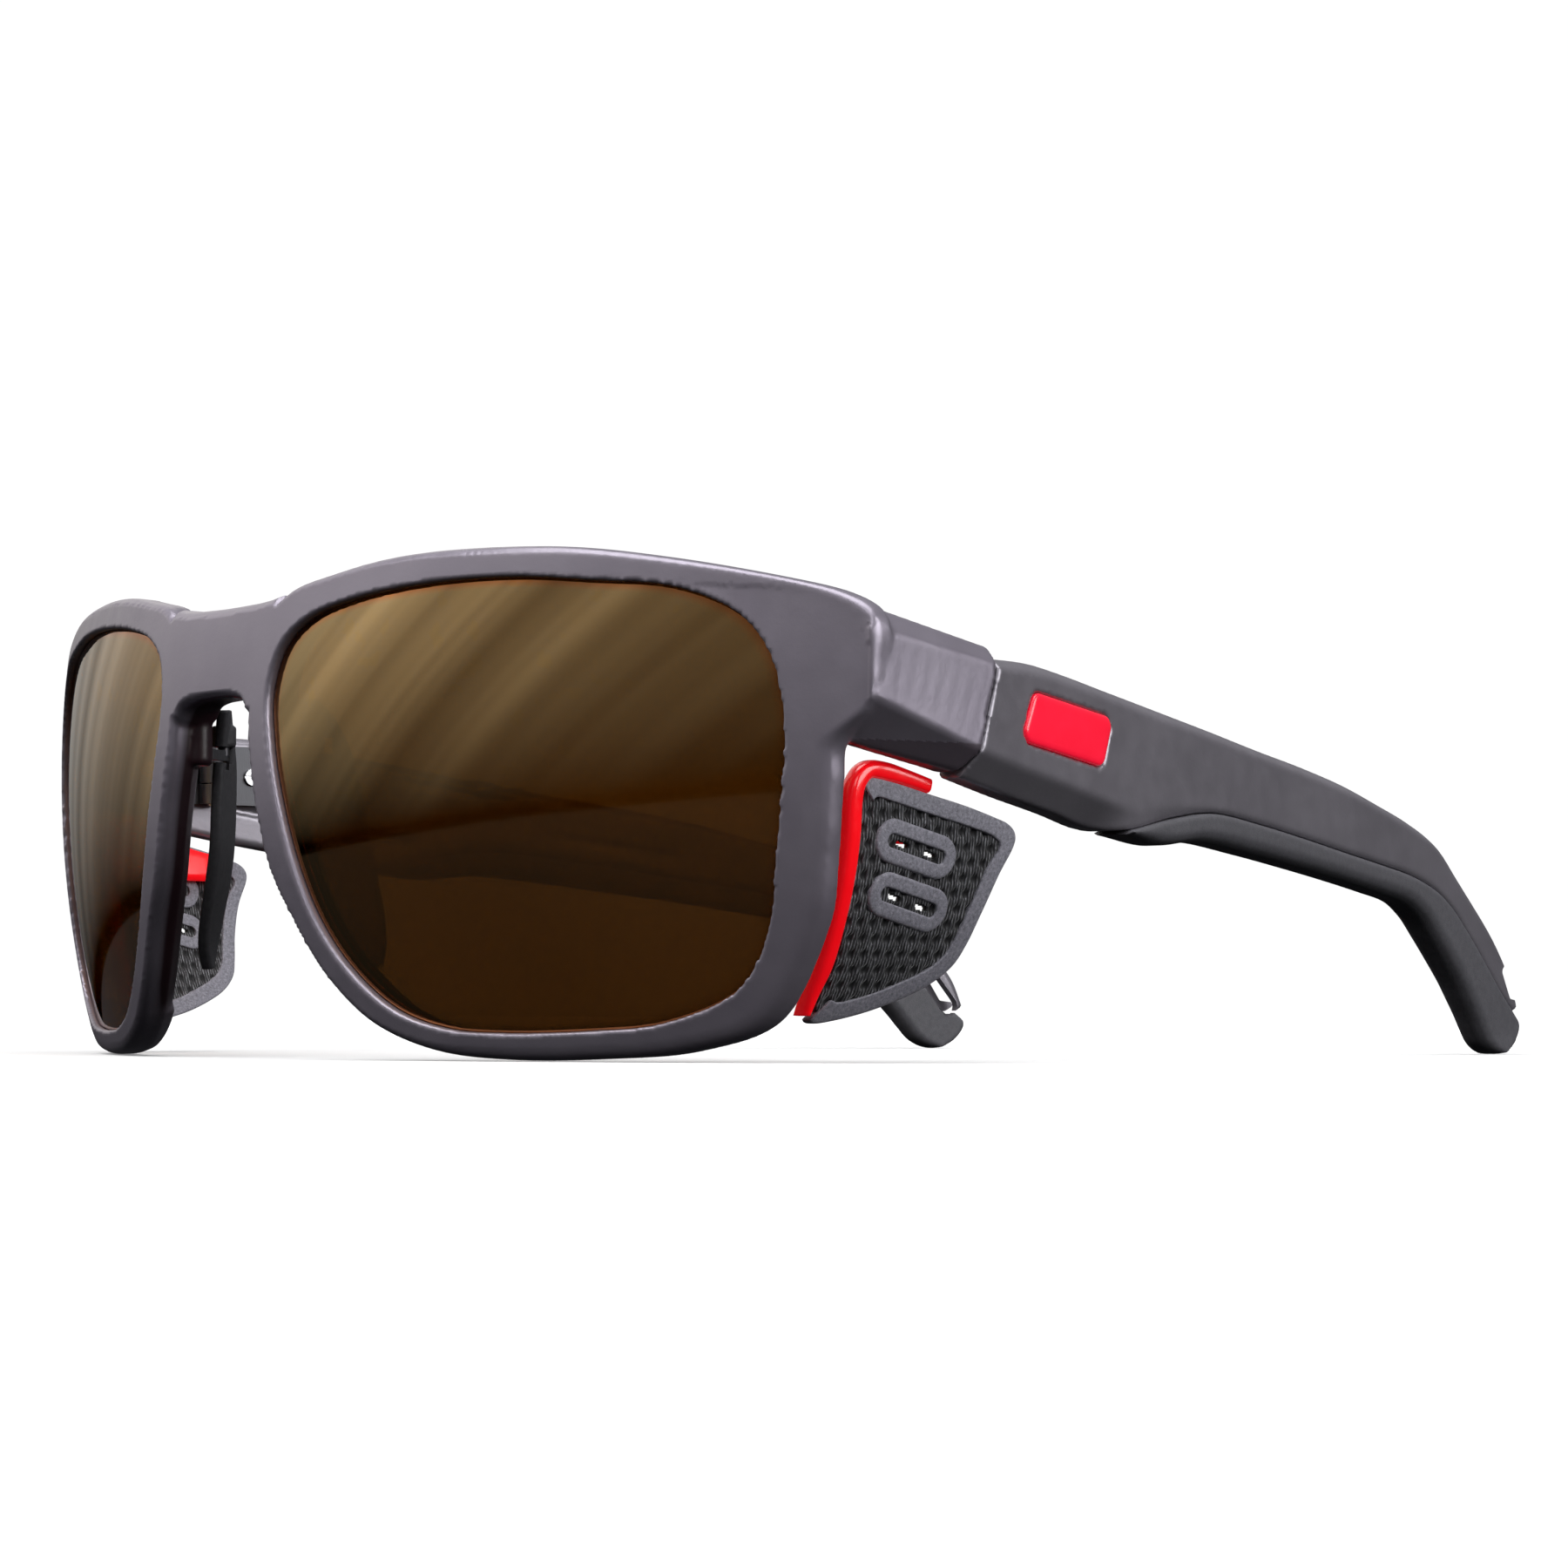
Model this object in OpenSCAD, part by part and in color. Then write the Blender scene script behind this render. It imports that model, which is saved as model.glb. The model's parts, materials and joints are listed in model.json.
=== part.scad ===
// Wraparound glacier glasses: one-piece front, two lenses, folding temples with
// soft grips, clip-on fabric side shields and adjustable nose pads.
// X is across the face (wearer's left is +X), +Y runs back along the temples,
// +Z is up. The rims and the temple tips rest on Z = 0.

/* [Front] */
// Radius of the sideways wrap of the front
wrap_r = 91; // [85:1:100]
// Radius of the up-and-down curve of the front
vert_r = 99; // [92:1:110]
// Depth of the rims, front to back
rim_d = 5; // [4.6:0.1:5.4]
// Depth of the bridge, front to back
bridge_d = 5.4; // [4.8:0.1:6]

/* [Lenses] */
// Lens thickness
lens_t = 2; // [1.6:0.1:2.2]
// How far the lens edge reaches into its groove
lens_bevel = 0.7; // [0.4:0.05:0.75]

/* [Temples] */
// Toe-in of each temple, in degrees
toe_in = 10.8; // [10:0.1:11.5]
// Gap between the end piece and the temple at the hinge
joint_gap = 0.45; // [0.4:0.05:0.6]
// Depth of the cord slot's outer notch
notch_d = 1.6; // [1.2:0.1:1.8]

/* [Hinge] */
// Radius of the hinge barrel
barrel_r = 1.5; // [1.4:0.05:1.6]
// Radius of the hinge screw
screw_r = 0.6; // [0.5:0.05:0.7]
// Running clearance of the temple knuckle on the screw
run_c = 0.05; // [0.02:0.01:0.08]

/* [Side shields] */
// Thickness of the fabric
fabric_t = 1.0; // [0.8:0.1:1.2]
// Width of the welded edge band
trim_w = 1.8; // [1.5:0.1:2.1]
// Thickness of the welded edge band and of the eyelets
trim_t = 1.4; // [1.2:0.1:1.6]

/* [Hidden] */
$fn = 40;
yc = 75.4;             // puts the middle of the length at Y = 0
zc = 24;               // mid height of the front
ax = 65.3;             // hinge axis, X
ay = 42.6;             // hinge axis, Y before centring
hz = 30.0;             // bottom of the hinge barrel

// Opening and outer edge of the left rim, as [X, Z] pairs that face each other.
rim = [
  [[64.7,30.0],[68.9,29.6]], [[64.5,33.5],[71.7,33.0]], [[63.6,37.5],[72.2,37.0]],
  [[61.4,41.0],[72.0,41.0]], [[58.2,43.2],[69.5,43.3]], [[53.5,44.8],[64.0,45.1]],
  [[47.0,45.5],[54.0,47.4]], [[40.0,46.2],[44.0,49.0]], [[33.0,46.3],[33.0,49.5]],
  [[26.0,45.9],[24.5,49.2]], [[20.0,45.1],[17.0,48.1]], [[14.7,43.7],[11.0,46.7]],
  [[11.2,41.0],[8.0,43.5]], [[9.9,36.5],[6.9,37.5]], [[10.5,31.5],[6.9,32.3]],
  [[11.7,26.5],[7.9,27.0]], [[13.9,19.3],[9.9,19.4]], [[16.5,13.4],[12.8,14.0]],
  [[20.0,8.6],[16.4,8.2]], [[24.5,4.9],[21.4,3.5]], [[30.0,3.1],[28.0,0.9]],
  [[36.0,2.7],[35.5,0.1]], [[44.0,2.9],[44.0,0.2]], [[51.5,3.7],[52.8,1.0]],
  [[58.5,6.8],[60.8,4.0]], [[62.0,12.5],[66.0,12.5]], [[63.4,19.5],[67.6,19.5]],
  [[64.3,25.6],[68.4,25.7]]];

// Outer and inner edge of the side shield's welded band, as [Y, Z] pairs.
panel = [
  [[30.4,26.6],[31.2,24.8]], [[33.5,26.2],[33.3,24.4]], [[37.7,25.3],[37.3,23.5]],
  [[42.0,24.4],[41.6,22.6]], [[45.8,23.4],[45.0,21.8]], [[47.6,22.8],[46.1,21.3]],
  [[48.5,21.9],[46.6,20.9]], [[48.4,20.6],[46.5,20.2]], [[47.0,17.8],[45.3,18.4]],
  [[45.8,14.2],[44.1,14.7]], [[45.0,11.2],[43.3,11.8]], [[44.1,9.1],[42.6,10.2]],
  [[42.2,7.4],[41.2,8.9]], [[39.6,6.1],[38.9,7.8]], [[36.0,4.8],[35.5,6.5]],
  [[32.2,3.9],[32.2,5.7]], [[29.7,3.7],[31.1,5.8]], [[28.8,4.8],[30.4,6.1]],
  [[28.8,6.6],[30.3,7.0]], [[29.2,9.2],[30.4,9.2]], [[29.2,12.5],[30.1,12.5]],
  [[28.8,16.5],[29.9,16.5]], [[28.6,20.5],[30.0,20.5]], [[28.6,24.0],[30.2,23.4]],
  [[29.1,25.9],[30.6,24.2]]];

// Temple stations along the temple's own axes [V, Z]: top edge, bottom edge.
tT = [[-0.55,38.3],[5.5,38.3],[12,37.6],[19,36.6],[24,35.9],[31,34.9],[38,33.9],
  [49,32.3],[58,31.1],[67.4,29.6],[75.7,27.8],[82.5,26.2],[88.5,24.2],[93.5,20.9],
  [98.2,17.6],[102,14.8],[105,12.2],[107.6,9.3],[109.2,5.8],[109.2,3.4],[108,1.5],[106,0.3]];
tB = [[-4.6,26.8],[3,25.4],[11,24.1],[17.5,22.9],[22,22.4],[29,21.6],[36.8,22.2],
  [47.5,21.3],[57,20.3],[66.5,19.2],[75,18.1],[81.5,17.1],[85.6,15.4],[88.8,13.0],
  [92,10.4],[94.8,8.0],[96.6,6.2],[98.4,4.4],[100,2.6],[101.4,1.2],[103.2,0.3],[104.8,0.0]];
// Line where the grip meets the temple, for stations 4 to 18.
tP = [[22.6,22.9],[30.6,24.4],[38.4,25.2],[48,24.4],[57.4,23.3],[66.8,22.1],[75.6,21.0],
  [82,20.1],[87.6,18.7],[91.6,16.9],[95,14.6],[98.2,12.2],[101.2,9.8],[104.4,7.2],[107.6,4.9]];

// ---- helpers ----
function cat(l) = [for (a = l) for (b = a) b];
function mean(l, i = 0) = i == len(l) - 1 ? l[i] / len(l) : l[i] / len(l) + mean(l, i + 1);
function mix(a, b, t) = a + (b - a) * t;
function cr(a, b, c, d, t) = 0.5 * ((2 * b) + (c - a) * t + (2 * a - 5 * b + 4 * c - d) * t * t
  + (3 * b - a - 3 * c + d) * t * t * t);
function smooth_loop(P, m) = let (n = len(P)) [for (i = [0:n - 1]) for (j = [0:m - 1])
  cr(P[(i + n - 1) % n], P[i], P[(i + 1) % n], P[(i + 2) % n], j / m)];
function smooth_line(P, m) = let (n = len(P)) concat([for (i = [0:n - 2]) for (j = [0:m - 1])
  cr(P[max(i - 1, 0)], P[i], P[i + 1], P[min(i + 2, n - 1)], j / m)], [P[n - 1]]);
function unit(v) = v / norm(v);
// Moves a closed outline inwards by d.
function inset(P, d) = let (n = len(P)) [for (i = [0:n - 1])
  let (t = unit(P[(i + 1) % n] - P[(i + n - 1) % n])) P[i] + d * [t[1], -t[0]]];
function tri(a, b, c, d) = [[a, b, c], [a, c, d]];
// Solid through a row of closed loops, with flat ends.
module loft(S, flip = false) {
  m = len(S); n = len(S[0]);
  pts = concat(cat(S), [mean(S[0]), mean(S[m - 1])]);
  f = concat(
    cat([for (i = [0:m - 2]) for (j = [0:n - 1])
      tri(i * n + j, i * n + (j + 1) % n, (i + 1) * n + (j + 1) % n, (i + 1) * n + j)]),
    [for (j = [0:n - 1]) [m * n, (j + 1) % n, j]],
    [for (j = [0:n - 1]) [m * n + 1, (m - 1) * n + j, (m - 1) * n + (j + 1) % n]]);
  polyhedron(pts, flip ? [for (a = f) [a[2], a[1], a[0]]] : f, convexity = 8);
}
// Solid ring through a closed row of closed loops.
module ring(S, flip = false) {
  m = len(S); n = len(S[0]);
  f = cat([for (i = [0:m - 1]) for (j = [0:n - 1])
    tri(i * n + j, i * n + (j + 1) % n, ((i + 1) % m) * n + (j + 1) % n, ((i + 1) % m) * n + j)]);
  polyhedron(cat(S), flip ? [for (a = f) [a[2], a[1], a[0]]] : f, convexity = 8);
}
module place() { translate([0, -yc, 0]) children(); }
module right() { mirror([1, 0, 0]) children(); }
module at_hinge() { translate([ax, ay, 0]) rotate([0, 0, toe_in]) children(); }

// Front surface of the glasses.
function fy(x, z) = x * x / (2 * wrap_r) - 1.3 * pow(x / 66, 4) + pow(z - zc, 2) / (2 * vert_r)
  - 0.0265 * (z - zc) - 0.00105 * abs(x) * (z - zc);
function on_front(p, d) = [p[0], fy(p[0], p[1]) + d, p[1]];

// ---- front ----
rim_s = smooth_loop([for (r = rim) [r[0][0], r[0][1], r[1][0], r[1][1]]], 3);
lens_in = 1;
// The rim is shallower beside the temples, and its outer wall leans in towards the back.
function depth_at(x) = rim_d - 1.7 * pow(sin(90 * min(max((x - 48) / 16, 0), 1)), 2);
function rim_section(r) = let (I = [r[0], r[1]], O = [r[2], r[3]], w = norm(O - I), u = (O - I) / w,
    D = depth_at(r[2]), nasal = r[2] < 20 ? 1 : 0, e = min(0.5 + (1.0 * nasal + 0.6) * pow(u[0], 2), w - 1.6),
    g = [[0, 0.45], [0.45, 0], [w - 0.6, 0], [w, 0.7], [w - e, D - 0.7], [w - e - 0.6, D],
      [0.4, D], [0, D - 0.3], [0, lens_in + lens_t / 2 + 0.95],
      [lens_bevel + 0.15, lens_in + lens_t / 2], [0, lens_in + lens_t / 2 - 0.95]])
  [for (q = g) on_front(I + u * q[0], q[1])];
module rim_ring() { ring([for (r = rim_s) rim_section(r)], true); }
bridge = [[-9.5,46.5,38],[-8,46.2,37],[-6.9,46.1,34.4],[-5.8,46,35.7],[-4,45.95,36.3],[-1.5,45.9,36.5],
  [1.5,45.9,36.5],[4,45.95,36.3],[5.8,46,35.7],[6.9,46.1,34.4],[8,46.2,37],[9.5,46.5,38]];
module bridge_bar() {
  loft([for (b = bridge) let (x = b[0], t = b[1], k = b[2]) [
    on_front([x, k], 0.6), on_front([x, k + 0.8], 0), on_front([x, (t + k) / 2], 0.02),
    on_front([x, t - 0.8], 0), on_front([x, t], 0.6),
    on_front([x, t], bridge_d - 0.8), on_front([x, t - 0.8], bridge_d),
    on_front([x, k + 0.8], bridge_d), on_front([x, k], bridge_d - 0.8)]]);
}
// End piece: from the corner of the front back to the hinge.
function hp(u, v, z) = [ax + u * cos(toe_in) - v * sin(toe_in), ay + u * sin(toe_in) + v * cos(toe_in), z];
end_a = [[72.1,26.8,33.4],[72.15,26.8,40.0],[70.5,26.8,42.3],[67.0,27.5,42.6],[66.8,27.5,29.5],[68.6,27.2,29.3]];
function end_b(g) = [hp(6.1, -3.3 - g, 29.3), hp(6.1, -0.65 - g, 37.7), hp(4.8, -0.55 - g, 39.4),
  hp(1.5, -0.55 - g, 39.4), hp(1.5, -4.3 - g, 27.3), hp(4.0, -4.3 - g, 27.3)];
module end_piece() { loft([end_a, [for (i = [0:5]) mix(end_a[i], end_b(joint_gap)[i], 0.5)], end_b(joint_gap)]); }
module leaf_holes(r) {
  for (y = [33.5, 38.5]) translate([65.5, y, 33.75]) rotate([0, 90, 0]) cylinder(r = r, h = 4.2, $fn = 24);
}
module half_front() {
  difference() {
    union() { rim_ring(); end_piece(); }
    leaf_holes(0.62);
  }
}
// Boss behind the rim that carries the nose pad's post.
module nose_boss() { difference() { translate([8.2, 4.3, 30.2]) cylinder(r = 1.7, h = 4.4, $fn = 32); post_bar(0.62); } }
module frame_front() color([0.17, 0.16, 0.19]) place() resize([0, 0, 0]) union() {
  bridge_bar();
  for (m = [0, 1]) mirror([m, 0, 0]) { difference() { half_front(); post_bar(0.62); } nose_boss(); }
}

// ---- lenses ----
lens_s = smooth_loop([for (r = rim) let (u = unit(r[1] - r[0])) [r[0][0] - 0.05 * u[0], r[0][1] - 0.05 * u[1], u[0], u[1]]], 2);
lens_c = [37, 24.5];
module lens() {
  m = lens_in + lens_t / 2;
  function lring(k, e, d) = [for (r = lens_s) on_front(mix(lens_c, [r[0], r[1]], k) + e * [r[2], r[3]], d)];
  loft([for (q = [[0.3, 0, 0], [0.6, 0, 0], [0.85, 0, 0], [1, 0, 0], [1, 0, 0.55], [1, lens_bevel, 1], [1, 0, 1.45],
    [1, 0, 2], [0.85, 0, 2], [0.6, 0, 2], [0.3, 0, 2]]) lring(q[0], q[1], m + (q[2] - 1) * lens_t / 2)]);
}
module left_lens() color([0.35, 0.2, 0.08, 0.8]) place() lens();
module right_lens() color([0.35, 0.2, 0.08, 0.8]) place() right() lens();

// ---- nose pads: a flat strip behind each rim, on a bendable metal post ----
strip = [[[6.8,6.5,36.0],[9.0,8.4,36.3]],[[7.7,6.8,33.6],[10.6,9.8,33.6]],[[8.4,7.0,31.0],[11.5,10.8,30.6]],
  [[8.9,7.1,26.5],[12.4,11.4,26.5]],[[9.6,7.4,22.0],[13.3,11.8,22.0]],[[11.1,7.8,18.0],[14.4,12.0,18.2]],
  [[13.0,8.4,14.4],[15.6,12.0,14.6]],[[14.5,9.2,11.5],[16.3,11.8,11.6]],[[15.5,10.4,9.2],[16.3,11.4,9.4]]];
pad_pin = [9.3, 8.3];
module post_bar(r) {
  hull() for (p = [[8.2, 4.3], pad_pin]) translate([p[0], p[1], 31.5 - r]) cylinder(r = r, h = 2 * r, $fn = 24);
}
module pad() {
  loft([for (s = smooth_line([for (s = strip) concat(s[0], s[1])], 2)) let (a = [s[0], s[1], s[2]], b = [s[3], s[4], s[5]],
      d = unit(b - a), n = [-d[1], d[0], 0] * 0.6)
    [a + n * 0.4, a + d * 0.4 + n, b - d * 0.4 + n, b + n * 0.4, b - n * 0.4, b - d * 0.4 - n, a + d * 0.4 - n, a - n * 0.4]], true);
}
module left_nose_pad() color([0.13, 0.13, 0.14]) place() resize([0, 0, 0]) difference() {
  union() { pad(); translate([pad_pin[0], pad_pin[1], 32.4]) cylinder(r = 1.3, h = 2.2, $fn = 32); }
  translate([pad_pin[0], pad_pin[1], 30]) cylinder(r = 0.67, h = 8, $fn = 32);
  translate([pad_pin[0], pad_pin[1], 30.7]) rotate([0, 0, -15]) translate([-1.6, -5, 0]) cube([3.2, 6.4, 1.65]);
}
module right_nose_pad() color([0.13, 0.13, 0.14]) right() left_nose_pad();
module left_nose_pad_post() color([0.5, 0.5, 0.52]) place() {
  hull() for (p = [[8.2, 4.3], pad_pin]) translate([p[0], p[1], 30.95]) cylinder(r = 0.55, h = 1.1, $fn = 32);
  translate([pad_pin[0], pad_pin[1], 31.5]) cylinder(r = 0.6, h = 3.3, $fn = 32);
}
module right_nose_pad_post() color([0.5, 0.5, 0.52]) right() left_nose_pad_post();

// ---- hinges ----
module knuckle(z, h, r) {
  difference() { translate([0, 0, z]) cylinder(r = barrel_r, h = h); translate([0, 0, z - 1]) cylinder(r = r, h = h + 2); }
}
module left_hinge_front_leaf() color([0.14, 0.14, 0.15]) place() difference() {
  union() {
    translate([ax, ay, hz]) cylinder(r = barrel_r, h = 2.5);
    translate([ax, ay, hz + 5]) cylinder(r = barrel_r, h = 2.5);
    translate([66.15, 31, hz]) cube([0.8, ay - 31.9, 7.5]);
    translate([66.15, 40, hz]) cube([0.42, ay - 40, 7.5]);
  }
  translate([ax, ay, hz - 1]) cylinder(r = screw_r + 0.02, h = 10);
  translate([ax, ay, hz + 2.4]) cylinder(r = barrel_r + 0.25, h = 2.7);
  leaf_holes(0.62);
}
module right_hinge_front_leaf() right() left_hinge_front_leaf();
module left_hinge_temple_leaf() color([0.14, 0.14, 0.15]) place() at_hinge() difference() {
  union() {
    translate([0, 0, hz + 2.55]) cylinder(r = barrel_r, h = 2.4);
    translate([0.75, 0, hz + 2.55]) cube([0.7, 4, 2.4]);
    translate([0.75, 2.4, hz]) cube([0.7, 11, 7.2]);
  }
  translate([0, 0, hz - 1]) cylinder(r = screw_r + run_c, h = 10);
  temple_leaf_holes(0.62);
}
module right_hinge_temple_leaf() right() left_hinge_temple_leaf();
module left_hinge_screw() color([0.7, 0.7, 0.72]) place() translate([ax, ay, 0]) {
  translate([0, 0, hz - 0.2]) cylinder(r = screw_r, h = 7.8);
  difference() {
    translate([0, 0, hz + 7.52]) cylinder(r = 1.15, h = 0.7);
    translate([-2, -0.15, hz + 7.9]) cube([4, 0.3, 1]);
  }
}
module right_hinge_screw() right() left_hinge_screw();
module small_screw() {
  rotate([0, 90, 0]) cylinder(r = 0.6, h = 4, $fn = 32);
  difference() {
    translate([-0.55, 0, 0]) rotate([0, 90, 0]) cylinder(r = 1.05, h = 0.53, $fn = 32);
    translate([-1, -2, -0.15]) cube([0.75, 4, 0.3]);
  }
}
module left_front_leaf_screws() color([0.7, 0.7, 0.72]) place()
  for (y = [33.5, 38.5]) translate([66.13, y, 33.75]) scale([0.85, 1, 1]) small_screw();
module right_front_leaf_screws() right() left_front_leaf_screws();
module temple_leaf_holes(r) {
  for (v = [5.5, 10.5]) translate([-0.3, v, 33.5]) rotate([0, 90, 0]) cylinder(r = r, h = 4.4, $fn = 24);
}
module left_temple_leaf_screws() color([0.7, 0.7, 0.72]) place() at_hinge()
  for (v = [5.5, 10.5]) translate([0.73, v, 33.5]) scale([0.82, 1, 1]) small_screw();
module right_temple_leaf_screws() right() left_temple_leaf_screws();

// ---- temples, in hinge axes: U is outwards, V is back along the temple ----
function u_out(v) = v < 40 ? 6.1 - 0.0075 * max(v, 0) : 5.8 - 0.022 * (v - 40) - 0.00015 * pow(v - 40, 2);
function u_in(v) = v < 16 ? 1.5 : max(0.1, 1.5 - 0.02 * (v - 16));
module temple_body() {
  P = [for (i = [0:18]) i < 4 ? tB[i] : tP[i - 4]];
  S = smooth_line([for (i = [0:18]) [tT[i][0], tT[i][1], P[i][0], P[i][1], i < 4 ? 2.6 : max(0.3, 2.0 - (i - 4)), i < 4 ? 1.9 : 0.3]], 2);
  loft([for (s = S) let (T = [s[0], s[1]], B = [s[2], s[3]], h = norm(T - B), e = (T - B) / h, o = u_out(s[0]), n = u_in(s[0]),
      a = min(s[4], h * 0.3), c = min(1.0, h * 0.25))
    [for (q = [[0, o - s[5]], [a, o], [h - c, o], [h, o - 1.2], [h, n + 0.8], [h - 0.8, n], [0.4, n], [0, n + 0.4]])
      [q[1], B[0] + e[0] * q[0], B[1] + e[1] * q[0]]]]);
}
module grip_body() {
  S = smooth_line([for (i = [4:21]) let (k = min(i, 18), p = i <= 18 ? tP[k - 4] : tT[i])
    [p[0], p[1], tB[i][0], tB[i][1]]], 2);
  loft([for (s = S) let (T0 = [s[0], s[1]], B = [s[2], s[3]], h0 = max(norm(T0 - B), 0.3), e = (T0 - B) / h0, h = max(h0 - 0.06, 0.2),
      o = u_out(s[0]) + 0.25, n = u_in(s[0]) - 0.15, r = min(1.2, h * 0.4))
    [for (q = [[0, o - 1.3], [r * 0.4, o - 0.4], [r, o], [h - 0.3, o], [h, o - 0.3], [h, n + 0.3], [h - 0.3, n], [r, n],
      [r * 0.4, n + 0.4], [0, n + 1.2]]) [q[1], B[0] + e[0] * q[0], B[1] + e[1] * q[0]]]]);
}
// Cord slot: in through the tip's inner face, and out at its trailing edge as a notch.
module spot(u, v, z, r, h) { translate([u, v, z]) rotate([0, 90, 0]) cylinder(r = r, h = h, $fn = 24); }
module cord_slot() {
  hull() { spot(-2, 100.4, 13.0, 1.4, 4.6); spot(-2, 106.6, 5.6, 1.4, 4.6); }
  hull() for (p = [[100.8, 13.0], [106.6, 5.8], [104.5, 17.0], [112.0, 6.0]]) spot(1.4, p[0], p[1], 1.2, 1.5);
  hull() for (p = [[105.4, 9.6], [109.9, 12.4], [107.2, 6.9], [111.6, 6.4]])
    spot(u_out(108) - notch_d, p[0], p[1], 0.5, 4);
}
module badge_shape(c) {
  linear_extrude(height = 0.8) offset(r = 1.2 + c, $fn = 24) polygon([[4.6, 31.6], [16.2, 30.1], [17.2, 32.8], [5.8, 34.2]]);
}
module badge_at(u) { translate([u, 0, 0]) multmatrix([[0, 0, 1, 0], [1, 0, 0, 0], [0, 1, 0, 0], [0, 0, 0, 1]]) children(); }
module left_temple() color([0.2, 0.19, 0.21]) place() at_hinge() resize([0, 0, 0]) difference() {
  temple_body();
  badge_at(5.45) badge_shape(0.06);
  temple_leaf_holes(0.62);
  cord_slot();
}
module right_temple() color([0.2, 0.19, 0.21]) right() left_temple();
module left_temple_grip() color([0.33, 0.33, 0.35]) place() at_hinge() resize([0, 0, 0]) difference() {
  grip_body();
  cord_slot();
}
module right_temple_grip() color([0.33, 0.33, 0.35]) right() left_temple_grip();
module left_badge() color([0.8, 0.02, 0.05]) place() at_hinge() badge_at(5.47) badge_shape(0);
module right_badge() color([0.8, 0.02, 0.05]) right() left_badge();

// ---- side shields ----
function px(y, z) = 66.4 + 0.05 * (y - 28) - 0.0165 * pow(max(25 - z, 0), 2);
function on_panel(p, d) = [px(p[0], p[1]) + d, p[0], p[1]];
panel_s = smooth_loop([for (p = panel) concat(p[0], p[1])], 2);
panel_o = [for (p = panel_s) [p[0], p[1]]];
panel_i = [for (p = panel_s) mix([p[0], p[1]], [p[2], p[3]], trim_w / 1.8)];
panel_c = [37.5, 15.5];
module sheet(P, a, b, c = panel_c, K = [0.4, 0.75, 1]) {
  loft(concat([for (k = K) [for (p = P) on_panel(mix(c, p, k), a)]],
    [for (i = [len(K) - 1:-1:0]) [for (p = P) on_panel(mix(c, p, K[i]), b)]]));
}
// Eyelets: centre [Y, Z], tilted to lie along the panel.
eyelets = [[36.3, 20.1], [36.4, 15.1]];
module eyelet_at(e) {
  translate([px(e[0], e[1]), e[0], e[1]]) rotate([0, atan(0.033 * (25 - e[1])), 0]) rotate([-13, 0, 0]) rotate([90, 0, 90]) children();
}
module stadium(w, l, h) {
  translate([0, 0, -h / 2]) {
    translate([-(l - w) / 2, -w / 2, 0]) cube([l - w, w, h]);
    for (s = [-1, 1]) translate([s * (l - w) / 2, 0, 0]) cylinder(r = w / 2, h = h);
  }
}
// Edge of the opening that holds both eyelets, in the direction of outline point o.
eye_c = [36.35, 17.6];
function eye_edge(o) = let (d = o - eye_c, u = [cos(13), -sin(13)], w = [sin(13), cos(13)], t = atan2(d * w, d * u),
    r = pow(pow(abs(cos(t)) / 5.95, 4) + pow(abs(sin(t)) / 4.9, 4), -0.25)) eye_c + r * (cos(t) * u + sin(t) * w);
module left_shield_fabric() color([0.12, 0.12, 0.14]) place()
  ring([for (o = mix(panel_i, panel_o, -0.03)) let (h = eye_edge(o), a = mix(o, h, 0.33), b = mix(o, h, 0.67), t = fabric_t / 2)
    [on_panel(o, -t), on_panel(o, t), on_panel(a, t), on_panel(b, t), on_panel(h, t), on_panel(h, -t), on_panel(b, -t), on_panel(a, -t)]], true);
module right_shield_fabric() color([0.12, 0.12, 0.14]) right() left_shield_fabric();
module left_shield_trim() color([0.5, 0.5, 0.54]) place()
  ring([for (i = [0:len(panel_o) - 1]) let (o = panel_o[i], n = panel_i[i])
    [on_panel(o, -trim_t / 2 + 0.3), on_panel(o, trim_t / 2 - 0.3), on_panel(mix(o, n, 0.15), trim_t / 2),
     on_panel(n, trim_t / 2), on_panel(n, -trim_t / 2), on_panel(mix(o, n, 0.15), -trim_t / 2)]], true);
module right_shield_trim() color([0.5, 0.5, 0.54]) right() left_shield_trim();
module left_shield_vents() color([0.43, 0.43, 0.46]) place() for (e = eyelets) eyelet_at(e)
  difference() { stadium(4.2, 10.2, trim_t); stadium(1.3, 7.4, 6); }
module right_shield_vents() color([0.43, 0.43, 0.46]) right() left_shield_vents();
// Clip: a bar down the front edge and along the top, with a band inside.
clip_path = [[60.0,28.0,4.4,0.5],[60.9,28.2,6.4,0.75],[62.4,28.5,9.2,0.95],[63.9,28.6,13,1.0],[65.2,28.6,17,1.0],
  [66.0,28.6,21,1.0],[66.3,28.6,24.4,1.0],[66.4,29.05,26.2,1.0],[66.4,30.3,27.3,1.0],[66.4,32.2,27.3,1.0],[66.5,34.8,26.8,0.9],[66.6,37.6,26.1,0.85]];
module clip_bar() {
  S = smooth_line(clip_path, 1); m = len(S);
  loft([for (i = [0:m - 1]) let (s = S[i], p = [s[0], s[1], s[2]], q0 = S[max(i - 1, 0)], q1 = S[min(i + 1, m - 1)],
      t = unit([0, q1[1] - q0[1], q1[2] - q0[2]]), n = [0, t[2], -t[1]], r = s[3])
    [for (a = [0:30:330]) p + [1.05 * cos(a), 0, 0] + n * (r - 0.1) * sin(a)]], true);
}
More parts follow.
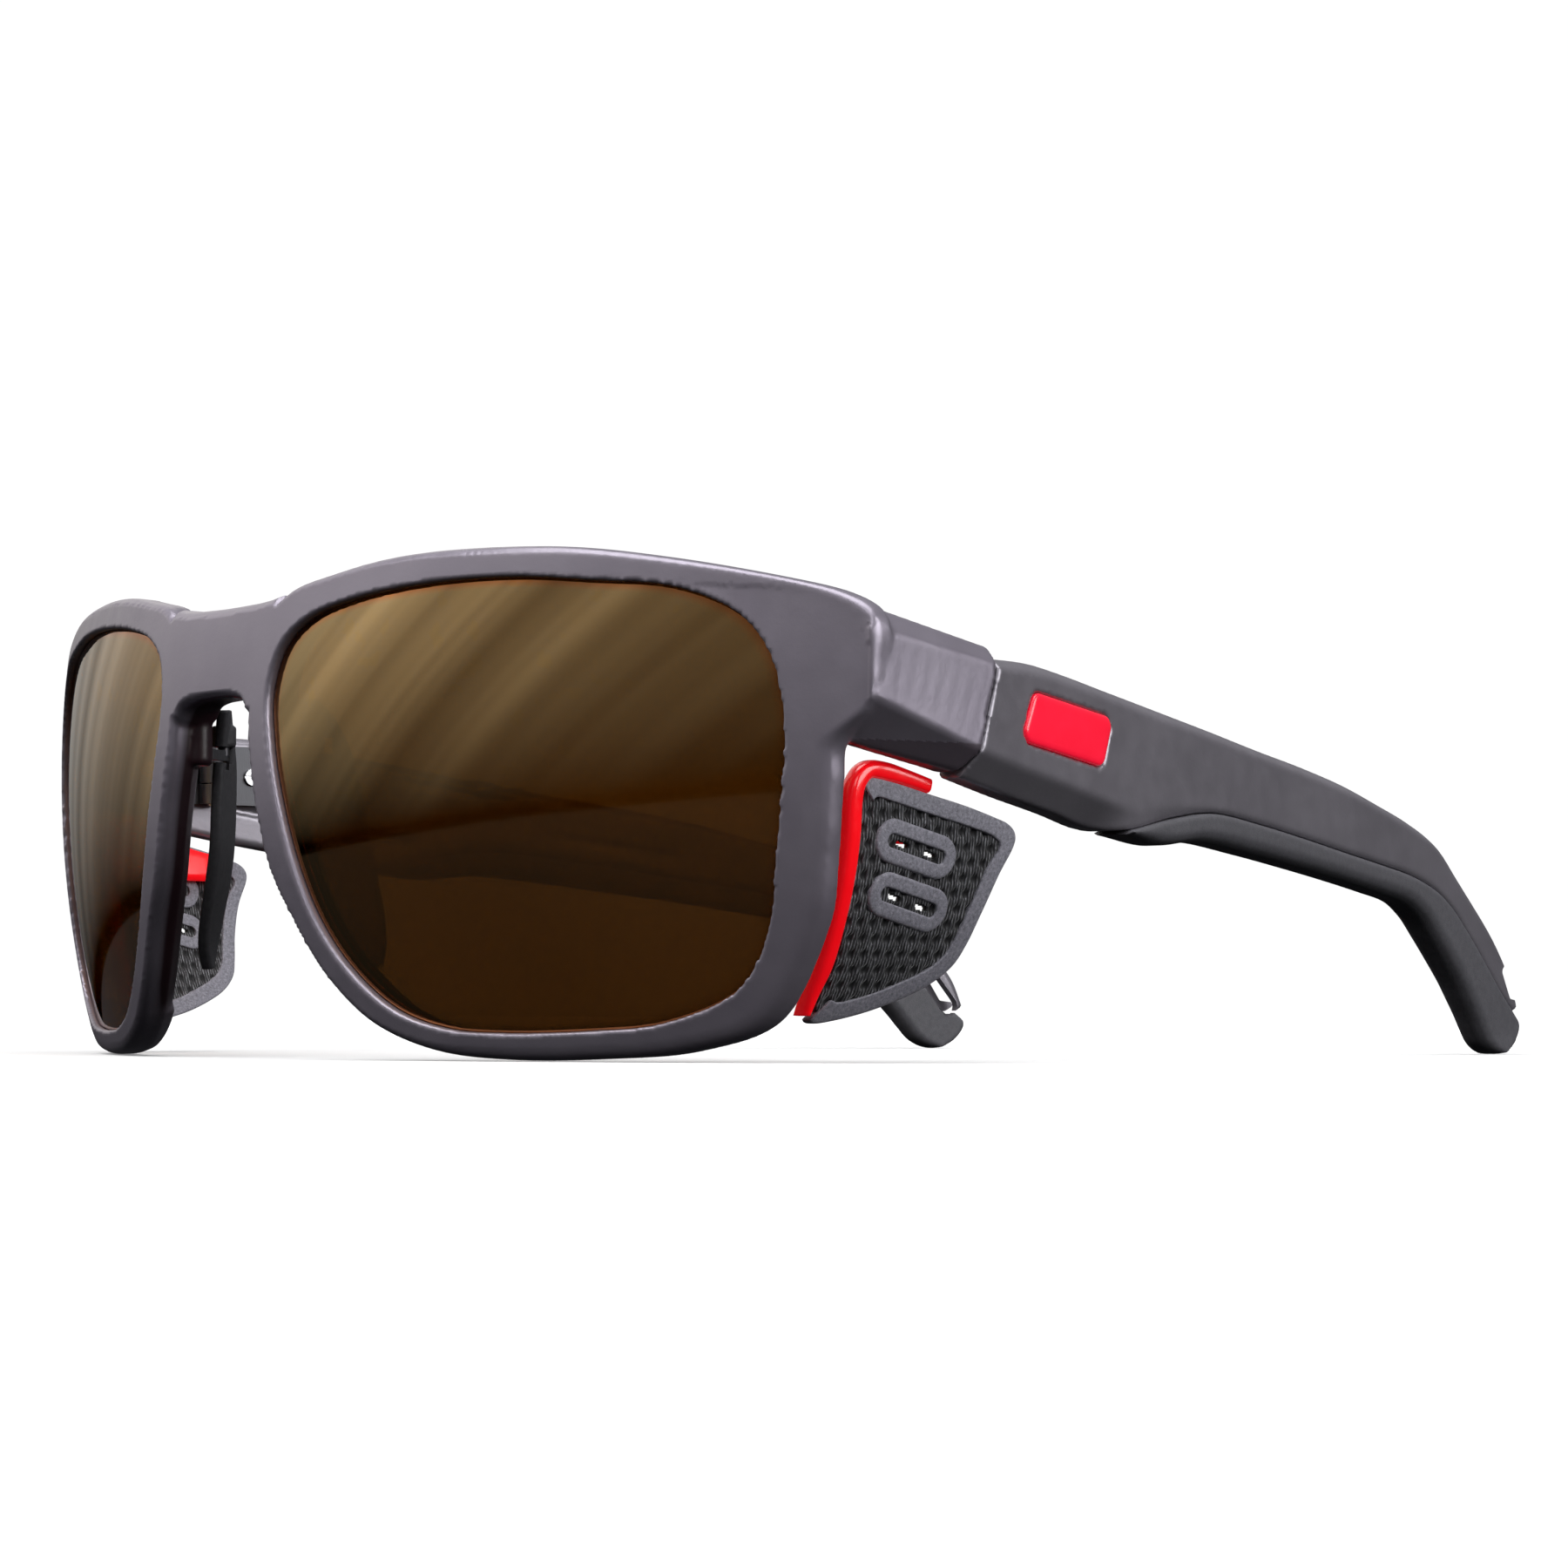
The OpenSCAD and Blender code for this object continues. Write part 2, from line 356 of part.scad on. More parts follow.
module left_shield_clip() color([0.85, 0.01, 0.03]) place() resize([0, 0, 0]) union() {
  // The bar grips the panel's edge in a slot.
  difference() { clip_bar(); sheet(mix(panel_o, panel_i, -0.04), -trim_t / 2 - 0.06, trim_t / 2 + 0.06); }
  difference() {
    sheet([[28.3,20.6],[28.3,23],[28.4,25.6],[29,26.4],[33,25.9],[37,25.1],[41,24.2],[44,23.6],[45.2,23],
      [45.6,22],[45.2,21],[44,20.6],[40,20.6],[34,20.6],[30,20.3],[28.8,20.0]], -1.75, -0.9, [35.5, 23], [0.5, 1]);
    translate([60, 26, 30.2]) cube([12, 20, 5]);
  }
}
module right_shield_clip() color([0.85, 0.01, 0.03]) right() left_shield_clip();

frame_front();
left_lens();
right_lens();
left_nose_pad();
right_nose_pad();
left_nose_pad_post();
right_nose_pad_post();
left_hinge_front_leaf();
right_hinge_front_leaf();
left_hinge_temple_leaf();
right_hinge_temple_leaf();
left_hinge_screw();
right_hinge_screw();
left_front_leaf_screws();
right_front_leaf_screws();
left_temple_leaf_screws();
right_temple_leaf_screws();
left_temple();
right_temple();
left_temple_grip();
right_temple_grip();
left_badge();
right_badge();
left_shield_clip();
right_shield_clip();
left_shield_fabric();
right_shield_fabric();
left_shield_trim();
right_shield_trim();
left_shield_vents();
right_shield_vents();
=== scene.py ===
import math
import bpy
import numpy as np
from mathutils import Matrix, Vector
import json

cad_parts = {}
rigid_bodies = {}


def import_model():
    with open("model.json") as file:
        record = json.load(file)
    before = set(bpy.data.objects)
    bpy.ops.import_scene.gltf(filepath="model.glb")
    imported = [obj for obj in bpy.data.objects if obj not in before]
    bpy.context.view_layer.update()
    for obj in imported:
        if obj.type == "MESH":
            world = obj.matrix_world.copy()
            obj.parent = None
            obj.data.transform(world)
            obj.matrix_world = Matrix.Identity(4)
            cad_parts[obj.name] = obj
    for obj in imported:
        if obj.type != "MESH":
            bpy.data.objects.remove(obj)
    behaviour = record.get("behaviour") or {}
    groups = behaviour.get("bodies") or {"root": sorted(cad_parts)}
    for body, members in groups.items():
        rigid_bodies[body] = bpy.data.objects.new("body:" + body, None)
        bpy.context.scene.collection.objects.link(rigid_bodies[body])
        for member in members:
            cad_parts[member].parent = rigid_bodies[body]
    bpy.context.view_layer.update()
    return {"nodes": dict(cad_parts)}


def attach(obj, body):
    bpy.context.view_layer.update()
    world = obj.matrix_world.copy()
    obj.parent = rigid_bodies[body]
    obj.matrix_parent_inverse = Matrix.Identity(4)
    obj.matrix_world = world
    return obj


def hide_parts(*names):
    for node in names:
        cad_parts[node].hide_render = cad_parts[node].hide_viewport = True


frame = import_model()
scene = bpy.context.scene
for o in list(bpy.data.objects):
    if o.type in ("LIGHT", "CAMERA"):
        bpy.data.objects.remove(o)

YC = 75.4                      # shift from the glasses' own Y to the row frame, mm


# ---------------------------------------------------------------- curves and sections (mm)
def cr(a, b, c, d, t):
    return 0.5 * (2 * b + (c - a) * t + (2 * a - 5 * b + 4 * c - d) * t * t + (3 * b - a - 3 * c + d) * t ** 3)


def smooth_loop(P, m):
    P = np.asarray(P, float)
    n = len(P)
    return np.array([cr(P[(i - 1) % n], P[i], P[(i + 1) % n], P[(i + 2) % n], j / m) for i in range(n) for j in range(m)])


def smooth_line(P, m):
    P = np.asarray(P, float)
    n = len(P)
    out = [cr(P[max(i - 1, 0)], P[i], P[i + 1], P[min(i + 2, n - 1)], j / m) for i in range(n - 1) for j in range(m)]
    return np.array(out + [P[-1]])


def unit(v):
    return v / np.linalg.norm(v)


def rounded(P, R, n=4):
    """Closed polygon P with each corner i rounded over a length R[i] of its edges."""
    P = [np.asarray(p, float) for p in P]
    k, out = len(P), []
    for i in range(k):
        a, p, b = P[i - 1], P[i], P[(i + 1) % k]
        la, lb = np.linalg.norm(a - p), np.linalg.norm(b - p)
        da, db = min(R[i], 0.48 * la), min(R[i], 0.48 * lb)
        s, e = p + (a - p) / max(la, 1e-9) * da, p + (b - p) / max(lb, 1e-9) * db
        for j in range(n + 1):
            t = j / n
            out.append((1 - t) ** 2 * s + 2 * t * (1 - t) * p + t * t * e)
    return np.array(out)


def fy(x, z):
    return x * x / 182.0 - 1.3 * (x / 66.0) ** 4 + (z - 24) ** 2 / 198.0 - 0.0265 * (z - 24) - 0.00105 * abs(x) * (z - 24)


def on_front(p, d):
    return np.array([p[0], fy(p[0], p[1]) + d, p[1]])


def px(y, z):
    return 66.4 + 0.05 * (y - 28) - 0.0165 * max(25 - z, 0) ** 2


def on_panel(p, d):
    return np.array([px(p[0], p[1]) + d, p[0], p[1]])


AX, AY = 65.3, 42.6
CT, ST = math.cos(math.radians(10.8)), math.sin(math.radians(10.8))


def hp(u, v, z):
    return np.array([AX + u * CT - v * ST, AY + u * ST + v * CT, z])


# ---------------------------------------------------------------- mesh building
def skin(S, closed=False, loop=True):
    """Vertices and faces of a skin through rows S of the same number of points."""
    S = np.asarray(S, float)
    m, n = S.shape[:2]
    V = S.reshape(-1, 3)
    F = []
    for i in range(m if closed else m - 1):
        a, b = i * n, ((i + 1) % m) * n
        for j in range(n if loop else n - 1):
            k = (j + 1) % n
            F.append((a + j, a + k, b + k, b + j))
    if not closed:
        V = np.vstack([V, S[0].mean(0), S[-1].mean(0)])
        c0, c1 = m * n, m * n + 1
        F += [(c0, (j + 1) % n, j) for j in range(n)]
        F += [(c1, (m - 1) * n + j, (m - 1) * n + (j + 1) % n) for j in range(n)]
    return V, F


def mirrored(part):
    V, F = part
    V = V.copy()
    V[:, 0] *= -1
    return V, [tuple(reversed(f)) for f in F]


def mesh_of(name, parts, fix=True):
    V, F, k = [], [], 0
    for v, f in parts:
        V.append(np.asarray(v))
        F += [tuple(i + k for i in q) for q in f]
        k += len(v)
    me = bpy.data.meshes.new(name)
    me.from_pydata(np.vstack(V).tolist(), [], F)
    me.update()
    if fix:
        import bmesh
        bm = bmesh.new()
        bm.from_mesh(me)
        bmesh.ops.recalc_face_normals(bm, faces=bm.faces)
        bm.to_mesh(me)
        bm.free()
    return me


def obj_of(me, name):
    o = bpy.data.objects.new(name, me)
    scene.collection.objects.link(o)
    return o


def baked(o):
    """Applies the modifiers of o."""
    dg = bpy.context.evaluated_depsgraph_get()
    dg.update()
    me = bpy.data.meshes.new_from_object(o.evaluated_get(dg), depsgraph=dg)
    old = o.data
    o.modifiers.clear()
    o.data = me
    bpy.data.meshes.remove(old)
    return o


def cut(o, parts, name="cutter"):
    c = obj_of(mesh_of(name, parts), name)
    m = o.modifiers.new("cut", "BOOLEAN")
    m.operation, m.object = "DIFFERENCE", c
    try:
        m.solver = "MANIFOLD"
    except TypeError:
        m.solver = "EXACT"
    baked(o)
    bpy.data.objects.remove(c)
    return o


def taubin(me, rounds, keep=None):
    """Smooths a mesh's vertices without shrinking it."""
    n = len(me.vertices)
    co = np.zeros(n * 3)
    me.vertices.foreach_get("co", co)
    co = co.reshape(-1, 3)
    e = np.zeros(len(me.edges) * 2, int)
    me.edges.foreach_get("vertices", e)
    e = e.reshape(-1, 2)
    deg = np.bincount(e.ravel(), minlength=n)[:, None].astype(float)
    deg[deg == 0] = 1
    for r in range(rounds * 2):
        acc = np.empty((n, 3))
        for c in range(3):
            acc[:, c] = np.bincount(e[:, 0], co[e[:, 1], c], n) + np.bincount(e[:, 1], co[e[:, 0], c], n)
        co += (0.55 if r % 2 == 0 else -0.57) * (acc / deg - co)
    return co


def remeshed(o, voxel, rounds):
    m = o.modifiers.new("remesh", "REMESH")
    m.mode, m.voxel_size = "VOXEL", voxel
    m.use_smooth_shade = True
    baked(o)
    co = taubin(o.data, rounds)
    return co


def store(o, co):
    o.data.vertices.foreach_set("co", co.astype(np.float32).ravel())
    o.data.update()


def to_row(me):
    """mm in the glasses' own frame to metres in the row frame."""
    me.transform(Matrix.Scale(0.001, 4) @ Matrix.Translation((0, -YC, 0)))
    me.update()


def smooth(me):
    me.shade_smooth()


def pieces_of(me, name, mat, bodies, reps):
    """The left piece and its mirror image, in place and riding on their bodies."""
    to_row(me)
    smooth(me)
    me.materials.clear()
    me.materials.append(mat)
    out = []
    for s in ("left", "right"):
        m = me if s == "left" else me.copy()
        if s == "right":
            m.transform(Matrix.Scale(-1, 4, (1, 0, 0)))
            m.flip_normals()
        m.name = f"{s}_{name}_mesh"
        o = obj_of(m, f"{s}_{name}_v")
        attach(o, bodies.replace("SIDE", s))
        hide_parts(*[f"{s}_{r}" for r in reps])
        out.append(o)
    return out


# ---------------------------------------------------------------- materials
def new_mat(name):
    m = bpy.data.materials.new(name)
    m.use_nodes = True
    nt = m.node_tree
    b = nt.nodes["Principled BSDF"]
    return m, nt, b


def node(nt, kind, **kw):
    n = nt.nodes.new(kind)
    for k, v in kw.items():
        if k.startswith("i_"):
            n.inputs[k[2:].replace("_", " ")].default_value = v
        else:
            setattr(n, k, v)
    return n


def coords(nt):
    return node(nt, "ShaderNodeTexCoord").outputs["Object"]


def noise(nt, co, scale, detail=3.0, rough=0.55, stretch=None):
    if stretch is not None:
        mp = node(nt, "ShaderNodeMapping")
        mp.inputs["Scale"].default_value = stretch
        nt.links.new(co, mp.inputs["Vector"])
        co = mp.outputs["Vector"]
    n = node(nt, "ShaderNodeTexNoise")
    n.inputs["Scale"].default_value = scale
    n.inputs["Detail"].default_value = detail
    n.inputs["Roughness"].default_value = rough
    nt.links.new(co, n.inputs["Vector"])
    return n.outputs["Fac"]


def ramp(nt, fac, stops):
    r = node(nt, "ShaderNodeValToRGB")
    el = r.color_ramp.elements
    el[0].position, el[0].color = stops[0][0], (*stops[0][1], 1)
    el[1].position, el[1].color = stops[-1][0], (*stops[-1][1], 1)
    for p, c in stops[1:-1]:
        e = el.new(p)
        e.color = (*c, 1)
    nt.links.new(fac, r.inputs["Fac"])
    return r.outputs["Color"]


def maprange(nt, fac, a, b, c, d):
    r = node(nt, "ShaderNodeMapRange")
    for k, v in zip(("From Min", "From Max", "To Min", "To Max"), (a, b, c, d)):
        r.inputs[k].default_value = v
    nt.links.new(fac, r.inputs["Value"])
    return r.outputs["Result"]


def bump(nt, height, strength, dist, normal=None):
    b = node(nt, "ShaderNodeBump")
    b.inputs["Strength"].default_value = strength
    b.inputs["Distance"].default_value = dist
    nt.links.new(height, b.inputs["Height"])
    if normal is not None:
        nt.links.new(normal, b.inputs["Normal"])
    return b.outputs["Normal"]


def math_(nt, op, a, b=None):
    n = node(nt, "ShaderNodeMath", operation=op)
    for i, v in enumerate((a, b)):
        if v is None:
            continue
        if isinstance(v, (int, float)):
            n.inputs[i].default_value = v
        else:
            nt.links.new(v, n.inputs[i])
    return n.outputs[0]


def lacquer(name, lo, hi, metallic, rough, shade_flanks=False):
    """Satin metallic lacquer: tiny flakes, slight cloudiness, a faint orange peel; optionally painted shade, which
    turns the flanks set back behind the front face a near-black wine and less metallic.
    """
    m, nt, b = new_mat(name)
    co = coords(nt)
    cloud = noise(nt, co, 90, 2)
    col = ramp(nt, cloud, [(0.3, lo), (0.7, hi)])
    if shade_flanks:
        # painted shade: the further a point lies behind the front face, the closer its colour goes to a near-black wine
        # and the lower its metallic
        a = node(nt, "ShaderNodeAttribute", attribute_name="painted_shade_depth")
        mix = node(nt, "ShaderNodeMix", data_type="RGBA")
        flank_shade = maprange(nt, a.outputs["Fac"], 0.15, 0.75, 0.0, 1.0)
        nt.links.new(flank_shade, mix.inputs["Factor"])
        nt.links.new(col, mix.inputs[6])
        mix.inputs[7].default_value = (0.018, 0.006, 0.009, 1)
        col = mix.outputs[2]
        nt.links.new(maprange(nt, flank_shade, 0.0, 1.0, metallic, 0.05), b.inputs["Metallic"])
    nt.links.new(col, b.inputs["Base Color"])
    if not shade_flanks:
        b.inputs["Metallic"].default_value = metallic
    nt.links.new(maprange(nt, noise(nt, co, 450, 4), 0.3, 0.7, rough - 0.04, rough + 0.05), b.inputs["Roughness"])
    n1 = bump(nt, noise(nt, co, 9000, 2), 0.05, 0.0001)
    nt.links.new(bump(nt, noise(nt, co, 1600, 2), 0.06, 0.0002, n1), b.inputs["Normal"])
    b.inputs["Coat Weight"].default_value = 0.12
    b.inputs["Coat Roughness"].default_value = 0.22
    return m


def rubber(name, lo, hi, rough, grain=7000, strength=0.35):
    m, nt, b = new_mat(name)
    co = coords(nt)
    g = noise(nt, co, grain, 4, 0.65)
    nt.links.new(ramp(nt, noise(nt, co, 1400, 5, 0.7), [(0.35, lo), (0.65, hi)]), b.inputs["Base Color"])
    nt.links.new(maprange(nt, g, 0.3, 0.7, rough - 0.08, rough + 0.08), b.inputs["Roughness"])
    nt.links.new(bump(nt, g, strength, 0.00008), b.inputs["Normal"])
    b.inputs["Specular IOR Level"].default_value = 0.35
    return m


def gloss_red(name, lo, hi, coat=0.7):
    m, nt, b = new_mat(name)
    co = coords(nt)
    nt.links.new(ramp(nt, noise(nt, co, 260, 3), [(0.3, lo), (0.7, hi)]), b.inputs["Base Color"])
    nt.links.new(maprange(nt, noise(nt, co, 1500, 4), 0.3, 0.7, 0.16, 0.26), b.inputs["Roughness"])
    nt.links.new(bump(nt, noise(nt, co, 1800, 2), 0.04, 0.0002), b.inputs["Normal"])
    b.inputs["Coat Weight"].default_value = coat
    b.inputs["Coat Roughness"].default_value = 0.06
    b.inputs["Specular IOR Level"].default_value = 0.5
    # painted light: a faint glow in the red's own colour keeps the clip and badge bright whatever lights them
    b.inputs["Emission Color"].default_value = (*hi, 1)
    b.inputs["Emission Strength"].default_value = 0.32
    return m


def welded(name):
    """Welded textile film: grey with dark and light flecks and a pressed grain."""
    m, nt, b = new_mat(name)
    co = coords(nt)
    f = noise(nt, co, 3200, 6, 0.8)
    nt.links.new(ramp(nt, f, [(0.30, (0.075, 0.074, 0.09)), (0.47, (0.185, 0.18, 0.215)), (0.56, (0.235, 0.23, 0.27)), (0.72, (0.42, 0.42, 0.47))]), b.inputs["Base Color"])
    nt.links.new(maprange(nt, f, 0.3, 0.7, 0.75, 0.55), b.inputs["Roughness"])
    nt.links.new(bump(nt, f, 0.5, 0.00006), b.inputs["Normal"])
    b.inputs["Sheen Weight"].default_value = 0.15
    return m


def mesh_fabric(name):
    """Black spacer mesh: painted shade in the cells, painted highlight on the upright knitted stitches."""
    m, nt, b = new_mat(name)
    co = coords(nt)
    a = node(nt, "ShaderNodeAttribute", attribute_name="pit")
    strand = noise(nt, co, 1.0, 2, 0.6, (2600, 5200, 1500))
    knit = node(nt, "ShaderNodeTexWave", wave_type="BANDS", bands_direction="Y")
    knit.inputs["Scale"].default_value = 1.0
    knit.inputs["Distortion"].default_value = 3.5
    knit.inputs["Detail"].default_value = 2.0
    mp = node(nt, "ShaderNodeMapping")
    mp.inputs["Scale"].default_value = (900, 900, 500)
    nt.links.new(co, mp.inputs["Vector"])
    nt.links.new(mp.outputs["Vector"], knit.inputs["Vector"])
    h = math_(nt, "MULTIPLY", knit.outputs["Fac"], strand)
    top = math_(nt, "SUBTRACT", 1.0, a.outputs["Fac"])
    hh = math_(nt, "MULTIPLY", h, top)
    # painted shade darkens the cells and painted highlight lightens the stitch tops
    nt.links.new(ramp(nt, hh, [(0.0, (0.004, 0.004, 0.005)), (0.22, (0.02, 0.02, 0.023)), (0.42, (0.055, 0.054, 0.062)), (0.62, (0.28, 0.28, 0.31))]), b.inputs["Base Color"])
    nt.links.new(maprange(nt, hh, 0.0, 0.6, 0.85, 0.5), b.inputs["Roughness"])
    nt.links.new(bump(nt, hh, 0.9, 0.00025), b.inputs["Normal"])
    b.inputs["Sheen Weight"].default_value = 0.25
    b.inputs["Sheen Roughness"].default_value = 0.4
    return m


def steel(name, base, rough):
    m, nt, b = new_mat(name)
    co = coords(nt)
    s = noise(nt, co, 1.0, 3, 0.6, (9000, 9000, 500))
    nt.links.new(ramp(nt, s, [(0.3, tuple(c * 0.8 for c in base)), (0.7, base)]), b.inputs["Base Color"])
    b.inputs["Metallic"].default_value = 1.0
    nt.links.new(maprange(nt, s, 0.3, 0.7, rough - 0.05, rough + 0.1), b.inputs["Roughness"])
    nt.links.new(bump(nt, s, 0.15, 0.00003), b.inputs["Normal"])
    return m


def lens_mat(name):
    """Dark brown category-4 lens under a golden mirror coating, with a copper line at its bevel."""
    m, nt, b = new_mat(name)
    co = coords(nt)
    soft = noise(nt, co, 22, 2)
    b.inputs["Transmission Weight"].default_value = 1.0
    b.inputs["IOR"].default_value = 1.5
    nt.links.new(ramp(nt, soft, [(0.3, (0.030, 0.010, 0.0006)), (0.7, (0.042, 0.015, 0.0012))]), b.inputs["Base Color"])
    nt.links.new(maprange(nt, noise(nt, co, 300, 4), 0.3, 0.7, 0.0, 0.02), b.inputs["Roughness"])
    c = node(nt, "ShaderNodeBsdfPrincipled")
    edge = node(nt, "ShaderNodeAttribute", attribute_name="edge")
    e = maprange(nt, edge.outputs["Fac"], 0.955, 0.985, 0.0, 1.0)
    mix = node(nt, "ShaderNodeMix", data_type="RGBA")
    nt.links.new(e, mix.inputs["Factor"])
    nt.links.new(ramp(nt, soft, [(0.3, (0.80, 0.52, 0.19)), (0.7, (0.90, 0.62, 0.26))]), mix.inputs[6])
    mix.inputs[7].default_value = (0.75, 0.28, 0.08, 1)
    nt.links.new(mix.outputs[2], c.inputs["Base Color"])
    c.inputs["Metallic"].default_value = 1.0
    nt.links.new(maprange(nt, noise(nt, co, 300, 4), 0.3, 0.7, 0.03, 0.07), c.inputs["Roughness"])
    sh = node(nt, "ShaderNodeMixShader")
    nt.links.new(maprange(nt, e, 0.0, 1.0, 0.34, 0.5), sh.inputs["Fac"])
    nt.links.new(b.outputs[0], sh.inputs[1])
    nt.links.new(c.outputs[0], sh.inputs[2])
    out = next(n for n in nt.nodes if n.type == "OUTPUT_MATERIAL")
    nt.links.new(sh.outputs[0], out.inputs["Surface"])
    return m


# the front gets painted shade on its set-back flanks
M_FRAME = lacquer("gunmetal_front", (0.235, 0.212, 0.258), (0.275, 0.25, 0.298), 0.6, 0.34, shade_flanks=True)
M_TEMPLE = lacquer("gunmetal_temple", (0.225, 0.212, 0.24), (0.265, 0.25, 0.282), 0.6, 0.34)
M_GRIP = rubber("grip_rubber", (0.078, 0.077, 0.086), (0.098, 0.096, 0.108), 0.55)
M_PAD = rubber("pad_rubber", (0.035, 0.035, 0.039), (0.048, 0.047, 0.052), 0.6)
M_CLIP = gloss_red("clip_red", (0.90, 0.002, 0.006), (0.96, 0.004, 0.010), 0.5)
M_BADGE = gloss_red("badge_red", (0.86, 0.006, 0.030), (0.93, 0.010, 0.040), 0.35)
M_TRIM = welded("welded_film")
M_FABRIC = mesh_fabric("spacer_mesh")
M_LENS = lens_mat("brown_lens")
M_STEEL = steel("hinge_steel", (0.10, 0.10, 0.108), 0.38)
M_SCREW = steel("screw_steel", (0.7, 0.7, 0.72), 0.25)

# ---------------------------------------------------------------- front
RIM = [((64.7, 30.0), (68.9, 29.6)), ((64.5, 33.5), (71.7, 33.0)), ((63.6, 37.5), (72.2, 37.0)),
       ((61.4, 41.0), (72.0, 41.0)), ((58.2, 43.2), (69.5, 43.3)), ((53.5, 44.8), (64.0, 45.1)),
       ((47.0, 45.5), (54.0, 47.4)), ((40.0, 46.2), (44.0, 49.0)), ((33.0, 46.3), (33.0, 49.5)),
       ((26.0, 45.9), (24.5, 49.2)), ((20.0, 45.1), (17.0, 48.1)), ((14.7, 43.7), (11.0, 46.7)),
       ((11.2, 41.0), (8.0, 43.5)), ((9.9, 36.5), (6.9, 37.5)), ((10.5, 31.5), (6.9, 32.3)),
       ((11.7, 26.5), (7.9, 27.0)), ((13.9, 19.3), (9.9, 19.4)), ((16.5, 13.4), (12.8, 14.0)),
       ((20.0, 8.6), (16.4, 8.2)), ((24.5, 4.9), (21.4, 3.5)), ((30.0, 3.1), (28.0, 0.9)),
       ((36.0, 2.7), (35.5, 0.1)), ((44.0, 2.9), (44.0, 0.2)), ((51.5, 3.7), (52.8, 1.0)),
       ((58.5, 6.8), (60.8, 4.0)), ((62.0, 12.5), (66.0, 12.5)), ((63.4, 19.5), (67.6, 19.5)),
       ((64.3, 25.6), (68.4, 25.7))]
RIM4 = np.array([[*a, *b] for a, b in RIM])
VOX = 0.27


def depth_at(x):
    t = min(max((x - 48) / 16, 0), 1)
    return 5 - 1.7 * math.sin(math.pi / 2 * t) ** 2


def rim_part():
    S = []
    for r in smooth_loop(RIM4, 8):
        I, O = r[:2], r[2:]
        w = np.linalg.norm(O - I)
        u = (O - I) / w
        D = depth_at(r[2])
        nasal = 1 if r[2] < 20 else 0
        e = min(0.5 + (nasal + 0.6) * u[0] ** 2, w - 1.6)
        side = min(max((r[2] - 60) / 6, 0), 1)
        crisp = side * min(max((r[3] - 29) / 3, 0), 1) * min(max((43 - r[3]) / 2, 0), 1)
        R = 1.25 * (1 - crisp) + 0.35 * crisp
        k = 0.62 * D
        P = [(0, 0), (w, 0), (w - 0.12 * e, k), (w - e, D - 0.3), (w - e - 0.5, D), (0.2, D),
             (0, D - 0.3), (0, 2.95), (0.85, 2.0), (0, 1.05)]
        g = rounded(P, [0.42, R, 0.18, 0.25, 0.3, 0.25, 0.2, 0.08, 0.08, 0.08], 3)
        S.append([on_front(I + u * q[0], q[1]) for q in g])
    return skin(S, closed=True)


BR = [(-9.5, 46.5, 38), (-8, 46.2, 37), (-6.9, 46.1, 34.4), (-5.8, 46, 35.7), (-4, 45.95, 36.3), (-1.5, 45.9, 36.5),
      (1.5, 45.9, 36.5), (4, 45.95, 36.3), (5.8, 46, 35.7), (6.9, 46.1, 34.4), (8, 46.2, 37), (9.5, 46.5, 38)]


def bridge_part():
    S = []
    for x, t, k in smooth_line(BR, 3):
        P = [(k, 0), (t, 0), (t, 5.4), (k, 5.4)]
        g = rounded(P, [1.3, 1.5, 1.2, 1.2], 6)
        S.append([on_front((x, q[0]), q[1] + 0.0) for q in g])
    return skin(S)


END_A = np.array([[72.1, 26.8, 33.4], [72.15, 26.8, 40.0], [70.5, 26.8, 42.3], [67.0, 27.5, 42.6], [66.8, 27.5, 29.5], [68.6, 27.2, 29.3]])
G = 0.45
END_B = np.array([hp(6.1, -3.3 - G, 29.3), hp(6.1, -0.65 - G, 37.7), hp(4.8, -0.55 - G, 39.4),
                  hp(1.5, -0.55 - G, 39.4), hp(1.5, -4.3 - G, 27.3), hp(4.0, -4.3 - G, 27.3)])
# a first row just inside the rim, so that the two blend into one corner
END_0 = END_A + np.array([[-0.15, -0.9, 0.1], [-0.15, -0.9, 0.0], [-0.5, -1.0, -0.1], [0, -3.0, -0.3], [0, -2.5, 0.6], [-0.3, -1.2, 0.3]])


def end_part():
    S = []
    rows = [END_0] + [END_A + (END_B - END_A) * t for t in np.linspace(0, 1, 9)]
    for P in rows:
        S.append(rounded(P, [0.35, 0.3, 0.35, 0.4, 0.4, 0.5], 3))
    return skin(S)


def boss_part():
    S = []
    for z, r in ((30.2, 1.3), (30.5, 1.65), (34.3, 1.65), (34.6, 1.3)):
        S.append([(8.2 + r * math.cos(t), 4.3 + r * math.sin(t), z) for t in np.linspace(0, 2 * math.pi, 24, endpoint=False)])
    return skin(S)


half = [rim_part(), end_part(), boss_part()]
front = obj_of(mesh_of("front", half + [mirrored(p) for p in half] + [bridge_part()]), "front_v")
co = remeshed(front, VOX, 6)
# the front face is pulled exactly onto the front surface, which removes the grid's ripples
nrm = np.zeros(len(front.data.vertices) * 3)
front.data.vertices.foreach_get("normal", nrm)
nrm = nrm.reshape(-1, 3)
face = fy(co[:, 0], co[:, 2])
near = (np.abs(co[:, 1] - face) < 0.16) & (nrm[:, 1] < -0.86)
co[near, 1] = face[near]
store(front, co)
